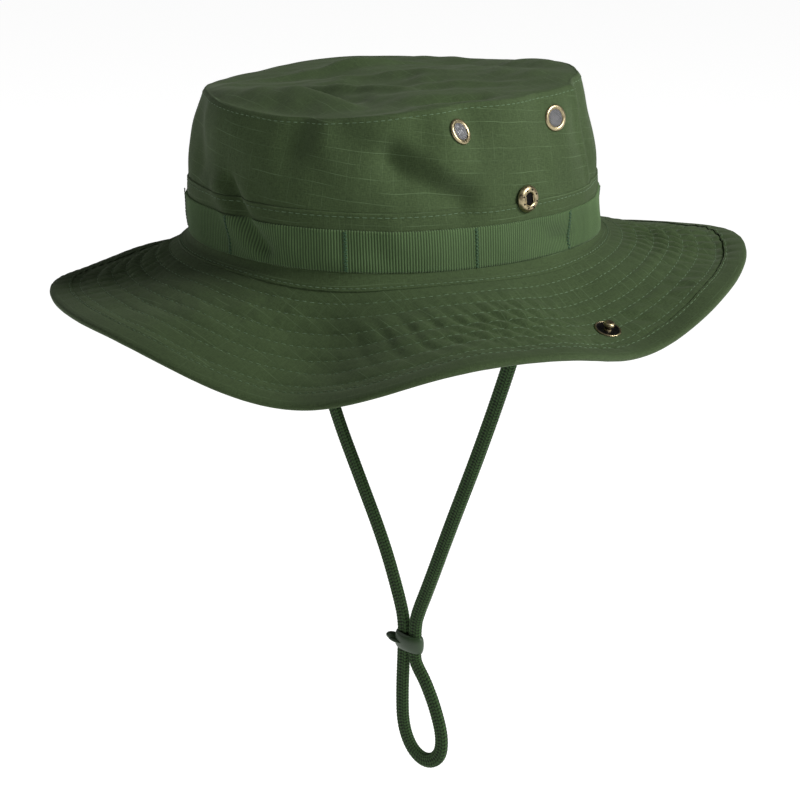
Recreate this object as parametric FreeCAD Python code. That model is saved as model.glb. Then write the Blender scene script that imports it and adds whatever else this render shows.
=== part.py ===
"""A wide-brimmed boonie hat: ripstop crown and brim, webbing band, vents, side snaps and a chin cord.

Frame: millimetres, +Z up through the crown, -Y the front of the hat, +X the wearer's left.
The origin is the centre of the head opening, in the plane where the crown meets the brim.
"""

import FreeCAD
import Part
import math
import os

from FreeCAD import Vector

# ---- driving dimensions of the hat ----
HALF_WIDTH = 86.5          # head opening, centre to side
HALF_LENGTH = 99.4         # head opening, centre to front
SQUARENESS = 2.14          # 2 is an ellipse, more is squarer
CROWN_HEIGHT = 72.0        # brim junction to top seam, at the centre
RISE_TO_LEFT = 0.040       # slope of the top seam's plane towards the wearer's left
RISE_TO_BACK = 0.027       # slope of the top seam's plane towards the back
TOP_SCALE = 0.91           # outline of the top seam, as a share of the head opening
TOP_SHIFT = -6.0           # the crown leans this far to the front
WALL_BULGE = 0.036         # how far the wall swells at half height, as a share
BRIM_WIDTH = 70.6
BRIM_DROOP = 16.0          # degrees below level
BRIM_CURL = 0.62           # steeper at the crown and flatter at the edge by this share
# The brim's waves: where (degrees from the wearer's left, towards the back), extra droop, half width
BRIM_WAVES = [
    (-144.0, 9.5, 23.0),
    (-101.0, 3.0, 27.0),
    (-62.0, 24.0, 18.0),
    (4.0, 8.5, 17.0),
    (53.0, -13.0, 27.0),
    (119.0, 8.2, 23.0),
    (175.0, 10.5, 27.0),
]

# ---- cloth and bands ----
CLOTH = 0.5                # one ply of ripstop
WALL = 0.8                 # crown wall with its seam allowances
GAP = 0.05                 # air between two layers that lie on each other
INTERLINING = 0.9
TOP_RISE = 3.0             # the middle of the top panel stands this much above its seam
BAND_TOP = 30.0            # height of the self-fabric band's upper edge
BAND_FLARE = 6.7           # the band's lower edge runs this far out over the brim
WEBBING_LOW = 3.3
WEBBING_HIGH = 22.0
WEBBING_THICK = 0.8
TACK_COUNT = 10            # bartacks that divide the webbing into loops
TACK_WIDTH = 2.0
TACK_THICK = 0.5
TACK_ROUND = 0.2
SWEATBAND_LOW = 1.0
SWEATBAND_HIGH = 33.0
SWEATBAND_THICK = 1.0
TAPE_DEPTH = 8.0           # seam tape under the top seam
TAPE_TOP = 2.5             # the tape starts this far under the top seam
TAPE_GAP = 0.25            # air between the tape and the curved wall
BAND_GAP = 0.35            # air between the band's flare and the curved brim
BINDING_WIDTH = 10.0
BINDING_THICK = 0.5
BINDING_GAP = 0.25         # air between the binding and the plies it wraps
BINDING_SHOULDER = 0.2     # the binding stays flat this far past the plies' edge
BINDING_NOSE = 0.7         # and its fold reaches this far past it
BRIM_INNER = 0.8           # the brim's layers start this far out from the crown

# ---- vents: two on each side ----
VENT_RADIUS = 6.0
VENT_BORE = 4.0
VENT_BARREL = 4.5
VENT_PLAY = 0.05           # between the barrel and the hole in the wall
WASHER_PLAY = 0.3          # between the washer and the notch in the seam tape
VENT_HEIGHT = {"left": 64.0, "right": 57.8}   # as far below the sloping top seam on both sides
VENT_FRONT_Y = -36.4
VENT_BACK_Y = 21.4

# ---- side snaps ----
SNAP_RADIUS = 6.2
SNAP_HEIGHT = 31.5
SNAP_Y = -2.5
SNAP_POST_HOLE = 1.75
SNAP_CAP_HOLE = 6.0        # in the sweatband, round the socket's cap
SOCKET_BORE = 2.8
STUD_ANGLE = 3.6           # degrees from the side, towards the back
STUD_OUT = 48.0            # along the brim from the crown
STUD_RADIUS = 6.0
STUD_POST_HOLE = 1.65
STUD_KNOB = 2.6

# ---- fold lines of the side flaps ----
FOLD_X = 97.5
FOLD_Z = -3.0
FOLD_SKEW = 10.0           # degrees between the fold line and the front-to-back line
FLAP_GAP = 0.6             # the flap starts this far outside its fold line
MIDDLE_GAP = 3.4           # the rest of the brim stops this far inside it, to leave the fold room

# ---- chin cord ----
CORD_PLANE_Y = 12.0
CORD_WIDTH = 7.6
CORD_THICK = 3.6
# One route from the left anchor down to the slider, round the loop and up to the right anchor
CORD_ROUTE = [
    (79.3, -4.0),
    (75.5, -26.0),
    (63.2, -62.7),
    (48.1, -102.7),
    (31.5, -142.5),
    (17.8, -177.5),
    (9.7, -196.5),
    (8.6, -203.0),
    (8.6, -219.5),
    (11.2, -224.0),
    (17.2, -230.0),
    (24.7, -241.5),
    (30.7, -255.7),
    (29.3, -267.2),
    (19.6, -273.2),
    (9.1, -270.2),
    (1.9, -259.2),
    (0.5, -242.2),
    (0.75, -220.5),
    (0.75, -203.0),
    (-3.9, -190.2),
    (-15.9, -165.2),
    (-34.9, -136.2),
    (-53.4, -108.2),
    (-66.5, -81.0),
    (-75.3, -46.0),
    (-79.3, -4.0),
]
TAB_LOW = -1.0             # the cord hangs from the lower edge of its tabs
TAB_SIZE = (8.8, 5.2, 13.0)
TAB_OFFSET = 0.3           # the tab's middle lies this far inside the cord's end
TAB_ROUND = 1.2
SLIDER_MID = (4.65, -212.2)
SLIDER_SIZE = (19.0, 9.5, 9.0)
SLIDER_SLOT = (16.0, 4.4)
SLIDER_ROUND = 2.2         # rounding of the bead's upper and lower edges
BILL_SIZE = (4.0, 5.0, 2.4)
BILL_REACH = 2.6           # the bill stands out this far from the bead
BILL_ROUND = 1.0

RING_POINTS = 48
ROUTE_ARC = 0.45           # an arc's radius: this share of the shorter run over tan(half the turn)


def brim_droop(angle):
    """Droop of the brim in radians at a direction given in degrees."""
    droop = BRIM_DROOP
    for middle, extra, width in BRIM_WAVES:
        away = (angle - middle + 180.0) % 360.0 - 180.0
        droop += extra * math.exp(-((away / width) ** 2))
    return math.radians(droop)


def opening_point(turn):
    """Point of the head opening's outline, and its outward normal, at a parameter in radians."""
    power = 2.0 / SQUARENESS
    c = math.cos(turn)
    s = math.sin(turn)
    x = HALF_WIDTH * math.copysign(abs(c) ** power, c)
    y = HALF_LENGTH * math.copysign(abs(s) ** power, s)
    nx = math.copysign(abs(x / HALF_WIDTH) ** (SQUARENESS - 1.0), x) / HALF_WIDTH
    ny = math.copysign(abs(y / HALF_LENGTH) ** (SQUARENESS - 1.0), y) / HALF_LENGTH
    return x, y, Vector(nx, ny, 0).normalize()


def brim_point(turn, out, lift):
    """Point on the brim, out along it from the crown and lifted off its middle layer."""
    x, y, normal = opening_point(turn)
    droop = brim_droop(math.degrees(math.atan2(y, x)))
    steps = 12
    across = 0.0
    down = 0.0
    for i in range(steps):
        share = (i + 0.5) / steps * out / BRIM_WIDTH
        slope = droop * (1.0 + BRIM_CURL - 2.0 * BRIM_CURL * share)
        across += math.cos(slope) * out / steps
        down += math.sin(slope) * out / steps
    slope = droop * (1.0 + BRIM_CURL - 2.0 * BRIM_CURL * out / BRIM_WIDTH)
    across += lift * math.sin(slope)
    return Vector(x, y, 0) + normal * across + Vector(0, 0, lift * math.cos(slope) - down)


def wall_point(turn, share, lift):
    """Point on the crown wall at a share of its height, lifted outwards."""
    x, y, normal = opening_point(turn)
    swell = WALL_BULGE * 4.0 * share * (1.0 - share)
    scale = 1.0 + (TOP_SCALE - 1.0) * share + swell
    px = x * scale + normal.x * lift
    py = y * scale + TOP_SHIFT * share + normal.y * lift
    height = CROWN_HEIGHT + RISE_TO_LEFT * px + RISE_TO_BACK * py
    return Vector(px, py, share * height)


def wall_point_at(turn, height, lift):
    """Point on the crown wall at a height in millimetres."""
    return wall_point(turn, height / (CROWN_HEIGHT + RISE_TO_LEFT * opening_point(turn)[0]), lift)


def top_point(turn, scale, lift):
    """Point on the top panel: scale 1 is its seam, 0 its middle."""
    edge = wall_point(turn, 1.0, -WALL)
    middle_y = TOP_SHIFT
    px = edge.x * scale
    py = middle_y + (edge.y - middle_y) * scale
    height = CROWN_HEIGHT + RISE_TO_LEFT * px + RISE_TO_BACK * py
    return Vector(px, py, height + TOP_RISE * (1.0 - scale ** 2) + lift)


def ring(place, *where):
    """Closed smooth curve right round the hat through one of the point functions above."""
    points = [place(2.0 * math.pi * i / RING_POINTS, *where) for i in range(RING_POINTS)]
    curve = Part.BSplineCurve()
    curve.interpolate(Points=points, PeriodicFlag=True)
    return curve.toShape()


def solid_of(faces):
    """Closed solid sewn from its faces, the right way out."""
    shell = Part.makeShell(faces)
    shell.sewShape()
    solid = Part.makeSolid(Part.makeShell(shell.Faces))
    if solid.Volume < 0:
        solid.reverse()
    return solid


def hoop(rings):
    """Solid with the rings as the corners of its section, in order round the section."""
    faces = []
    for i, edge in enumerate(rings):
        faces.append(Part.makeRuledSurface(edge, rings[(i + 1) % len(rings)]))
    return solid_of(faces)


def brim_layer(inner, outer, low, high, steps=6):
    """Layer of the brim between two distances from the crown and two lifts."""
    outs = [inner + (outer - inner) * i / steps for i in range(steps + 1)]
    rings = [ring(brim_point, out, high) for out in outs]
    rings += [ring(brim_point, out, low) for out in reversed(outs)]
    return hoop(rings)


def wall_layer(low, high, inner, outer, steps=3):
    """Layer of the crown wall between two heights in millimetres and two lifts."""
    levels = [low + (high - low) * i / steps for i in range(steps + 1)]
    rings = [ring(wall_point_at, level, outer) for level in levels]
    rings += [ring(wall_point_at, level, inner) for level in reversed(levels)]
    return hoop(rings)


def crown_side():
    """The wall of the crown, one strip sewn into a ring."""
    steps = 6
    shares = [i / steps for i in range(steps + 1)]
    rings = [ring(wall_point, share, 0.0) for share in shares]
    rings += [ring(wall_point, share, -WALL) for share in reversed(shares)]
    return hoop(rings)


def crown_top():
    """The top panel, a shallow dome that fills the top seam."""
    scales = [0.995, 0.8, 0.6, 0.4, 0.2, 0.05]
    upper = [ring(top_point, scale, 0.0) for scale in scales]
    lower = [ring(top_point, scale, -WALL) for scale in scales]
    faces = []
    for side in (upper, lower):
        for first, second in zip(side, side[1:]):
            faces.append(Part.makeRuledSurface(first, second))
        faces.append(Part.Face(Part.Wire([side[-1]])))
    faces.append(Part.makeRuledSurface(upper[0], lower[0]))
    return solid_of(faces)


def crown_seam_tape():
    """Tape that covers the top seam's raw edges, inside the crown."""
    low = 1.0 - TAPE_DEPTH / CROWN_HEIGHT
    high = 1.0 - TAPE_TOP / CROWN_HEIGHT
    outer = -WALL - TAPE_GAP
    inner = outer - CLOTH
    return hoop([
        ring(wall_point, low, outer),
        ring(wall_point, high, outer),
        ring(wall_point, high, inner),
        ring(wall_point, low, inner),
    ])


def hat_band():
    """Self-fabric band over the junction: up the wall, and flared out over the brim."""
    brim_lift = INTERLINING / 2 + GAP + CLOTH + BAND_GAP
    inner = GAP
    outer = GAP + CLOTH
    return hoop([
        ring(wall_point_at, BAND_TOP, outer),
        ring(wall_point_at, BAND_TOP / 2, outer),
        ring(wall_point_at, 3.0, outer),
        ring(brim_point, 3.0, brim_lift + CLOTH),
        ring(brim_point, BAND_FLARE, brim_lift + CLOTH),
        ring(brim_point, BAND_FLARE, brim_lift),
        ring(brim_point, 2.2, brim_lift),
        ring(wall_point_at, 2.6, inner),
        ring(wall_point_at, BAND_TOP / 2, inner),
        ring(wall_point_at, BAND_TOP, inner),
    ])


def webbing_band():
    """Grosgrain webbing round the crown, outside the self-fabric band."""
    inner = CLOTH + 2 * GAP
    return wall_layer(WEBBING_LOW, WEBBING_HIGH, inner, inner + WEBBING_THICK)


def sweatband():
    """Band inside the head opening that rests on the head."""
    outer = -WALL - 2 * GAP
    return wall_layer(SWEATBAND_LOW, SWEATBAND_HIGH, outer - SWEATBAND_THICK, outer)


def turn_at_share(share):
    """Outline parameter at a share of the way round the head opening, from the front."""
    samples = 720
    start = -math.pi / 2
    points = [opening_point(start + 2 * math.pi * i / samples)[:2] for i in range(samples + 1)]
    lengths = [0.0]
    for first, second in zip(points, points[1:]):
        lengths.append(lengths[-1] + math.dist(first, second))
    target = share * lengths[-1]
    index = next(i for i, length in enumerate(lengths) if length >= target)
    return start + 2 * math.pi * index / samples


def outward_frame(origin, outward, up):
    """Placement whose own +Z is outward and whose own +Y is about up."""
    z = Vector(outward).normalize()
    x = Vector(up).cross(z).normalize()
    y = z.cross(x)
    rotation = FreeCAD.Rotation(x, y, z, "ZXY")
    return FreeCAD.Placement(origin, rotation)


def wall_frame(turn, height, lift):
    """Placement on the crown wall, own +Z outwards."""
    here = wall_point_at(turn, height, lift)
    above = wall_point_at(turn, height + 1.0, lift)
    beside = wall_point_at(turn + 0.01, height, lift)
    up = above.sub(here)
    outward = beside.sub(here).cross(up)
    return outward_frame(here, outward, up)


def wall_turn_at(y, height, side):
    """Outline parameter of the point of the wall at this y and height, on one side."""
    share = height / CROWN_HEIGHT
    scale = 1.0 + (TOP_SCALE - 1.0) * share + WALL_BULGE * 4.0 * share * (1.0 - share)
    across = (y - TOP_SHIFT * share) / (scale * HALF_LENGTH)
    turn = math.asin(math.copysign(abs(across) ** (SQUARENESS / 2.0), across))
    return turn if side > 0 else math.pi - turn


def webbing_bartacks():
    """The dense stitch bars that divide the webbing into loops."""
    lift = CLOTH + 3 * GAP + WEBBING_THICK
    height = WEBBING_HIGH - WEBBING_LOW - 1.0
    bars = []
    for i in range(TACK_COUNT):
        turn = turn_at_share(i / TACK_COUNT)
        bar = Part.makeBox(TACK_WIDTH, height, TACK_THICK, Vector(-TACK_WIDTH / 2, -height / 2, 0))
        bar = bar.makeFillet(TACK_ROUND, [edge for edge in bar.Edges if edge.CenterOfMass.z > TACK_THICK * 0.9])
        bar.Placement = wall_frame(turn, (WEBBING_LOW + WEBBING_HIGH) / 2, lift + 0.1)
        bars.append(bar)
    return Part.makeCompound(bars)


def turned(profile):
    """Solid turned about +Z from a closed outline of (radius, height) points."""
    points = [Vector(r, 0, z) for r, z in profile]
    face = Part.Face(Part.makePolygon(points + points[:1]))
    return face.revolve(Vector(0, 0, 0), Vector(0, 0, 1), 360)


def vent_ring():
    """Eyelet: a rolled flange outside the wall and a barrel through it."""
    flange = turned([
        (VENT_BORE, -WALL - 1.2),
        (VENT_BARREL, -WALL - 1.2),
        (VENT_BARREL, 0.1),
        (VENT_RADIUS, 0.1),
        (VENT_RADIUS, 0.5),
        (5.5, 1.0),
        (4.7, 1.1),
        (VENT_BORE, 0.7),
    ])
    return flange


def vent_washer():
    """Flat washer that the eyelet's barrel is rolled over, inside the crown."""
    low = -WALL - 0.95
    return turned([
        (VENT_BARREL + 0.02, low),
        (VENT_RADIUS, low),
        (VENT_RADIUS, low + 0.5),
        (VENT_BARREL + 0.02, low + 0.5),
    ])


def vent_screen():
    """Disc of woven mesh across the eyelet's bore."""
    return turned([(0.0, 0.0), (VENT_BORE - 0.02, 0.0), (VENT_BORE - 0.02, 0.3), (0.0, 0.3)])


def snap_socket():
    """Female half of the side snap, outside the crown, with a post through the wall."""
    return turned([
        (0.0, -2.5),
        (1.7, -2.5),
        (1.7, 0.2),
        (SNAP_RADIUS, 0.2),
        (SNAP_RADIUS, 1.2),
        (5.4, 2.3),
        (4.4, 2.4),
        (3.7, 1.8),
        (SOCKET_BORE, 1.8),
        (SOCKET_BORE, 0.8),
        (0.0, 0.8),
    ])


def snap_socket_cap():
    """Cap inside the crown that the socket's post is set into."""
    low = -WALL - CLOTH - 1.0
    return turned([
        (1.75, low),
        (5.5, low),
        (5.5, low + 0.5),
        (1.75, low + 0.5),
    ])


def snap_stud():
    """Male half of the side snap on top of the brim: a dished base and a waisted knob."""
    foot = INTERLINING / 2 + GAP + CLOTH
    return turned([
        (0.0, -foot - 0.6),
        (1.6, -foot - 0.6),
        (1.6, foot + 0.5),
        (STUD_RADIUS, foot + 0.5),
        (STUD_RADIUS, foot + 0.9),
        (4.6, foot + 1.5),
        (1.7, foot + 1.5),
        (1.7, foot + 2.6),
        (STUD_KNOB, foot + 3.1),
        (STUD_KNOB, foot + 3.8),
        (1.4, foot + 4.3),
        (0.0, foot + 4.3),
    ])


def snap_stud_cap():
    """Cap under the brim that the stud's post is set into."""
    foot = INTERLINING / 2 + GAP + CLOTH
    return turned([
        (1.65, -foot - 1.2),
        (5.5, -foot - 1.0),
        (5.5, -foot - 0.5),
        (1.65, -foot - 0.5),
    ])


def stud_turn(side):
    """Outline parameter of the stud on one side."""
    turn = math.radians(STUD_ANGLE)
    return turn if side > 0 else math.pi - turn


def stud_frame(side):
    """Placement on the brim's middle layer at the stud, own +Z upwards off the brim."""
    turn = stud_turn(side)
    here = brim_point(turn, STUD_OUT, 0.0)
    outer = brim_point(turn, STUD_OUT + 1.0, 0.0)
    beside = brim_point(turn + 0.01, STUD_OUT, 0.0)
    outward = outer.sub(here)
    normal = outward.cross(beside.sub(here))
    return outward_frame(here, normal, outward)


def hole(placement, radius, depth=8.0):
    """Cylinder that cuts a hole through the cloth at a placement."""
    drill = Part.makeCylinder(radius, 2 * depth, Vector(0, 0, -depth))
    drill.Placement = placement
    return drill


def placed(shape, placement):
    """Copy of a shape at a placement."""
    copy = shape.copy()
    copy.Placement = placement
    return copy


def side_block(side, gap):
    """Block that holds everything further out than this gap beyond one side's fold line."""
    reach = 400.0
    block = Part.makeBox(reach, 2 * reach, reach, Vector(FOLD_X + gap, -reach, -reach / 2))
    block.rotate(Vector(FOLD_X, 0, 0), Vector(0, 0, 1), FOLD_SKEW)
    return block if side > 0 else block.mirror(Vector(0, 0, 0), Vector(1, 0, 0))


def cord_path():
    """The cord's centreline: straight runs joined by tangent arcs."""
    points = [Vector(x, CORD_PLANE_Y, z) for x, z in CORD_ROUTE]
    edges = []
    start = points[0]
    for before, corner, after in zip(points, points[1:], points[2:]):
        back = before.sub(corner)
        ahead = after.sub(corner)
        half_turn = (math.pi - back.getAngle(ahead)) / 2
        trim = ROUTE_ARC * min(back.Length, ahead.Length)
        radius = trim / math.tan(half_turn)
        back = back.normalize()
        ahead = ahead.normalize()
        enter = corner + back * trim
        leave = corner + ahead * trim
        inward = (back + ahead).normalize()
        middle = corner + inward * (radius / math.cos(half_turn) - radius)
        edges.append(Part.LineSegment(start, enter).toShape())
        edges.append(Part.Arc(enter, middle, leave).toShape())
        start = leave
        print(f"cord bend at ({corner.x:.0f}, {corner.z:.0f}): radius {radius:.1f}")
    edges.append(Part.LineSegment(start, points[-1]).toShape())
    return Part.Wire(edges)


def chin_cord():
    """Flat braid swept along its route."""
    path = cord_path()
    along = Vector(CORD_ROUTE[1][0] - CORD_ROUTE[0][0], 0, CORD_ROUTE[1][1] - CORD_ROUTE[0][1]).normalize()
    across = Vector(0, 1, 0).cross(along).normalize()
    start = Vector(CORD_ROUTE[0][0], CORD_PLANE_Y, CORD_ROUTE[0][1])
    half_width = across * (CORD_WIDTH / 2)
    half_thick = Vector(0, CORD_THICK / 2, 0)
    corners = [
        start - half_width - half_thick,
        start + half_width - half_thick,
        start + half_width + half_thick,
        start - half_width + half_thick,
    ]
    section = Part.makePolygon(corners + corners[:1])
    cord = path.makePipeShell([section], True, False)
    expected = CORD_WIDTH * CORD_THICK * path.Length
    print(f"cord length {path.Length:.1f}, volume {cord.Volume:.0f} of {expected:.0f}, valid {cord.isValid()}")
    return cord


def cord_slider():
    """Oval bead with a slot for both strands and a small duck-bill at one end."""
    x, z = SLIDER_MID
    length, depth, height = SLIDER_SIZE
    bead = Part.makeBox(length, depth, height, Vector(-length / 2, -depth / 2, -height / 2))
    upright = [edge for edge in bead.Edges if abs(edge.Vertexes[0].Z - edge.Vertexes[1].Z) > 1.0]
    bead = bead.makeFillet(depth / 2 - 0.5, upright)
    bead = bead.makeFillet(SLIDER_ROUND, [e for e in bead.Edges if abs(abs(e.CenterOfMass.z) - height / 2) < 0.01])
    slot_length, slot_depth = SLIDER_SLOT
    slot = Part.makeBox(slot_length, slot_depth, 4 * height, Vector(-slot_length / 2, -slot_depth / 2, -2 * height))
    bill_length, bill_depth, bill_height = BILL_SIZE
    bill_corner = Vector(-length / 2 - BILL_REACH, -bill_depth / 2, -bill_height / 2)
    bill = Part.makeBox(bill_length, bill_depth, bill_height, bill_corner)
    bill = bill.makeFillet(BILL_ROUND, bill.Edges)
    bead = bead.fuse(bill).cut(slot).removeSplitter()
    bead.translate(Vector(x, CORD_PLANE_Y, z))
    return bead


def cord_tab(side):
    """Cloth tab that sews one end of the cord to the sweatband."""
    width, thick, height = TAB_SIZE
    corner = Vector(CORD_ROUTE[0][0] - width / 2 - TAB_OFFSET, CORD_PLANE_Y - thick / 2, TAB_LOW)
    tab = Part.makeBox(width, thick, height, corner)
    tab = tab.makeFillet(TAB_ROUND, [edge for edge in tab.Edges if edge.CenterOfMass.x < corner.x + 0.1])
    return tab if side > 0 else tab.mirror(Vector(0, 0, 0), Vector(1, 0, 0))


def export(name, shape):
    """Writes one piece to its own file and reports it."""
    shape.exportStep(f"parts/{name}.step")
    box = shape.BoundBox
    size = f"{box.XLength:.1f} x {box.YLength:.1f} x {box.ZLength:.1f}"
    print(f"{name}: {len(shape.Solids)} solids, {size}, volume {shape.Volume:.0f}, valid {shape.isValid()}")


def main():
    """Builds and writes every piece."""
    os.makedirs("parts", exist_ok=True)
    sides = {"left": 1, "right": -1}
    wall = crown_side()
    band = hat_band()
    sweat = sweatband()
    seam_tape = crown_seam_tape()
    lining = INTERLINING / 2
    layers = {
        "upper_ply": brim_layer(BRIM_INNER, BRIM_WIDTH, lining + GAP, lining + GAP + CLOTH),
        "interlining": brim_layer(BRIM_INNER, BRIM_WIDTH, -lining, lining),
        "lower_ply": brim_layer(BRIM_INNER, BRIM_WIDTH, -lining - GAP - CLOTH, -lining - GAP),
    }
    face = lining + GAP + CLOTH + BINDING_GAP
    inner = BRIM_WIDTH - BINDING_WIDTH
    tape = face + BINDING_THICK
    layers["binding"] = hoop([
        ring(brim_point, inner, face),
        ring(brim_point, inner, tape),
        ring(brim_point, BRIM_WIDTH + BINDING_SHOULDER, tape),
        ring(brim_point, BRIM_WIDTH + BINDING_NOSE, 0.0),
        ring(brim_point, BRIM_WIDTH + BINDING_SHOULDER, -tape),
        ring(brim_point, inner, -tape),
        ring(brim_point, inner, -face),
        ring(brim_point, BRIM_WIDTH + GAP, -face),
        ring(brim_point, BRIM_WIDTH + GAP, face),
    ])
    for side_name, side in sides.items():
        for place_name, y in (("front", VENT_FRONT_Y), ("back", VENT_BACK_Y)):
            height = VENT_HEIGHT[side_name]
            frame = wall_frame(wall_turn_at(y, height, side), height, 0.0)
            wall = wall.cut(hole(frame, VENT_BARREL + VENT_PLAY))
            seam_tape = seam_tape.cut(hole(frame, VENT_RADIUS + WASHER_PLAY))
            export(f"vent_ring_{side_name}_{place_name}", placed(vent_ring(), frame))
            export(f"vent_washer_{side_name}_{place_name}", placed(vent_washer(), frame))
            export(f"vent_screen_{side_name}_{place_name}", placed(vent_screen(), frame))
        snap = wall_frame(wall_turn_at(SNAP_Y, SNAP_HEIGHT, side), SNAP_HEIGHT, CLOTH + GAP)
        drill = hole(snap, SNAP_POST_HOLE)
        wall = wall.cut(drill)
        band = band.cut(drill)
        sweat = sweat.cut(hole(snap, SNAP_CAP_HOLE))
        export(f"snap_socket_{side_name}", placed(snap_socket(), snap))
        export(f"snap_socket_cap_{side_name}", placed(snap_socket_cap(), snap))
        export(f"cord_tab_{side_name}", cord_tab(side))
        stud = stud_frame(side)
        export(f"snap_stud_{side_name}", placed(snap_stud(), stud))
        export(f"snap_stud_cap_{side_name}", placed(snap_stud_cap(), stud))
        outside = side_block(side, FLAP_GAP)
        for layer_name, layer in layers.items():
            flap = layer.common(outside).cut(hole(stud, STUD_POST_HOLE))
            export(f"{side_name}_flap_{layer_name}", flap)
    for layer_name, layer in layers.items():
        middle = layer.cut(side_block(1, -MIDDLE_GAP)).cut(side_block(-1, -MIDDLE_GAP))
        export(f"brim_{layer_name}", middle)
    export("crown_side", wall)
    export("crown_top", crown_top())
    export("crown_seam_tape", seam_tape)
    export("hat_band", band)
    export("webbing_band", webbing_band())
    export("webbing_bartacks", webbing_bartacks())
    export("sweatband", sweat)
    export("chin_cord", chin_cord())
    export("cord_slider", cord_slider())


main()
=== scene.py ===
"""Visual model of a boonie hat: quilted ripstop brim and crown, webbing band, vents, side snaps and chin cord.

Frame: metres, +Z up through the crown, -Y the front of the hat, +X the wearer's left. The origin is the centre
of the head opening, where the crown meets the brim. The cloth is worked out in millimetres and written in metres.
"""

import logging
import math
from dataclasses import dataclass
from enum import Enum
from typing import Callable, Sequence

import bmesh
import bpy
import numpy as np
from mathutils import Matrix, Vector


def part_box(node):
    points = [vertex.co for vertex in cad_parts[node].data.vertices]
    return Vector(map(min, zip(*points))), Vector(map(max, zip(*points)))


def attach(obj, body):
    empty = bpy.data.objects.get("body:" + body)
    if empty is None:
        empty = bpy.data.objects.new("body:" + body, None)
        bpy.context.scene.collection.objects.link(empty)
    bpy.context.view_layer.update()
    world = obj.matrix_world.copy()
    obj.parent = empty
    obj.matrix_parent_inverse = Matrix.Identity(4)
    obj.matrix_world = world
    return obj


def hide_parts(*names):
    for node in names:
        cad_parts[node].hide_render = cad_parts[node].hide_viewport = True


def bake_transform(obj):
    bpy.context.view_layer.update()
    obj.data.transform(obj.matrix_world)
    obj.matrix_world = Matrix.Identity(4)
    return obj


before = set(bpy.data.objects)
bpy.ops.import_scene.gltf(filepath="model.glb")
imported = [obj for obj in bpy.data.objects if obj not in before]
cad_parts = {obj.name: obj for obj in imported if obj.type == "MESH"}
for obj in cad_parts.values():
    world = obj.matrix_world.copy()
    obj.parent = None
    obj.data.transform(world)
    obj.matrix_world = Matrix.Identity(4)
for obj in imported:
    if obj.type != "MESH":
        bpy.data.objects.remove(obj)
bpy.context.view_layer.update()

MM = 0.001
FRONT = -math.pi / 2
LOG = logging.getLogger("boonie_hat")
Array = np.ndarray
HORIZONTAL = np.array([1.0, 1.0, 0.0])
UPWARD = np.array([0.0, 0.0, 1.0])
MILLIMETRES = (1000.0, 1000.0, 1000.0)


class Side(Enum):
    """The wearer's side of the hat that a piece is on."""

    LEFT = 1
    RIGHT = -1

    @property
    def word(self) -> str:
        """The side's name in piece and node names."""
        return self.name.lower()


class Face(Enum):
    """The face of the brim that a ply or a row of stitches is on."""

    TOP = 1
    UNDER = -1


# ---------------------------------------------------------------- shape of the hat


@dataclass(frozen=True)
class Crease:
    """A soft fold of the cloth along a line between two places.

    Places are (u, v) in millimetres: round the hat and up it or out along it, or x and y on the top panel.
    soft_ends is the share of the depth that is gone at both ends.
    """

    start: tuple[float, float]
    end: tuple[float, float]
    width: float
    depth: float
    soft_ends: float = 0.0

    def lift(self, u: Array, v: Array) -> Array:
        """How far the fold moves the cloth.

        Args:
            u, v: Places on the cloth, in millimetres.

        Returns:
            Millimetres outwards, or inwards where depth is negative.
        """
        du = self.end[0] - self.start[0]
        dv = self.end[1] - self.start[1]
        along = ((u - self.start[0]) * du + (v - self.start[1]) * dv) / (du * du + dv * dv)
        along = np.clip(along, 0.0, 1.0)
        away = (u - self.start[0] - along * du) ** 2 + (v - self.start[1] - along * dv) ** 2
        return self.depth * (1.0 - self.soft_ends * (2.0 * along - 1.0) ** 2) * np.exp(-away / self.width ** 2)


@dataclass(frozen=True)
class Tilt:
    """A soft slope of the cloth round one place, which itself stays where it is."""

    place: tuple[float, float]
    slope: tuple[float, float]
    width: float

    def lift(self, u: Array, v: Array) -> Array:
        """Millimetres that the cloth moves outwards at places given in millimetres."""
        du, dv = u - self.place[0], v - self.place[1]
        return (self.slope[0] * du + self.slope[1] * dv) * np.exp(-(du ** 2 + dv ** 2) / self.width ** 2)


@dataclass(frozen=True)
class Pucker:
    """A patch of small ripples that the stitching gathers in the brim."""

    arc: float
    out: float
    reach_arc: float
    reach_out: float
    wavelength: float
    slant: float
    height: float

    def lift(self, arc: Array, out: Array) -> Array:
        """Millimetres that the ripples lift the brim at places round and out along it."""
        inside = np.exp(-((arc - self.arc) / self.reach_arc) ** 2 - ((out - self.out) / self.reach_out) ** 2)
        phase = arc + self.slant * out + 2.0 * np.sin(out / 9.0 + self.arc) + 1.5 * np.sin(arc / 17.0)
        wave = np.sin(2.0 * math.pi * phase / self.wavelength)
        return self.height * inside * (wave + 0.35 * np.sin(4.0 * math.pi * phase / self.wavelength + 1.0))


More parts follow.
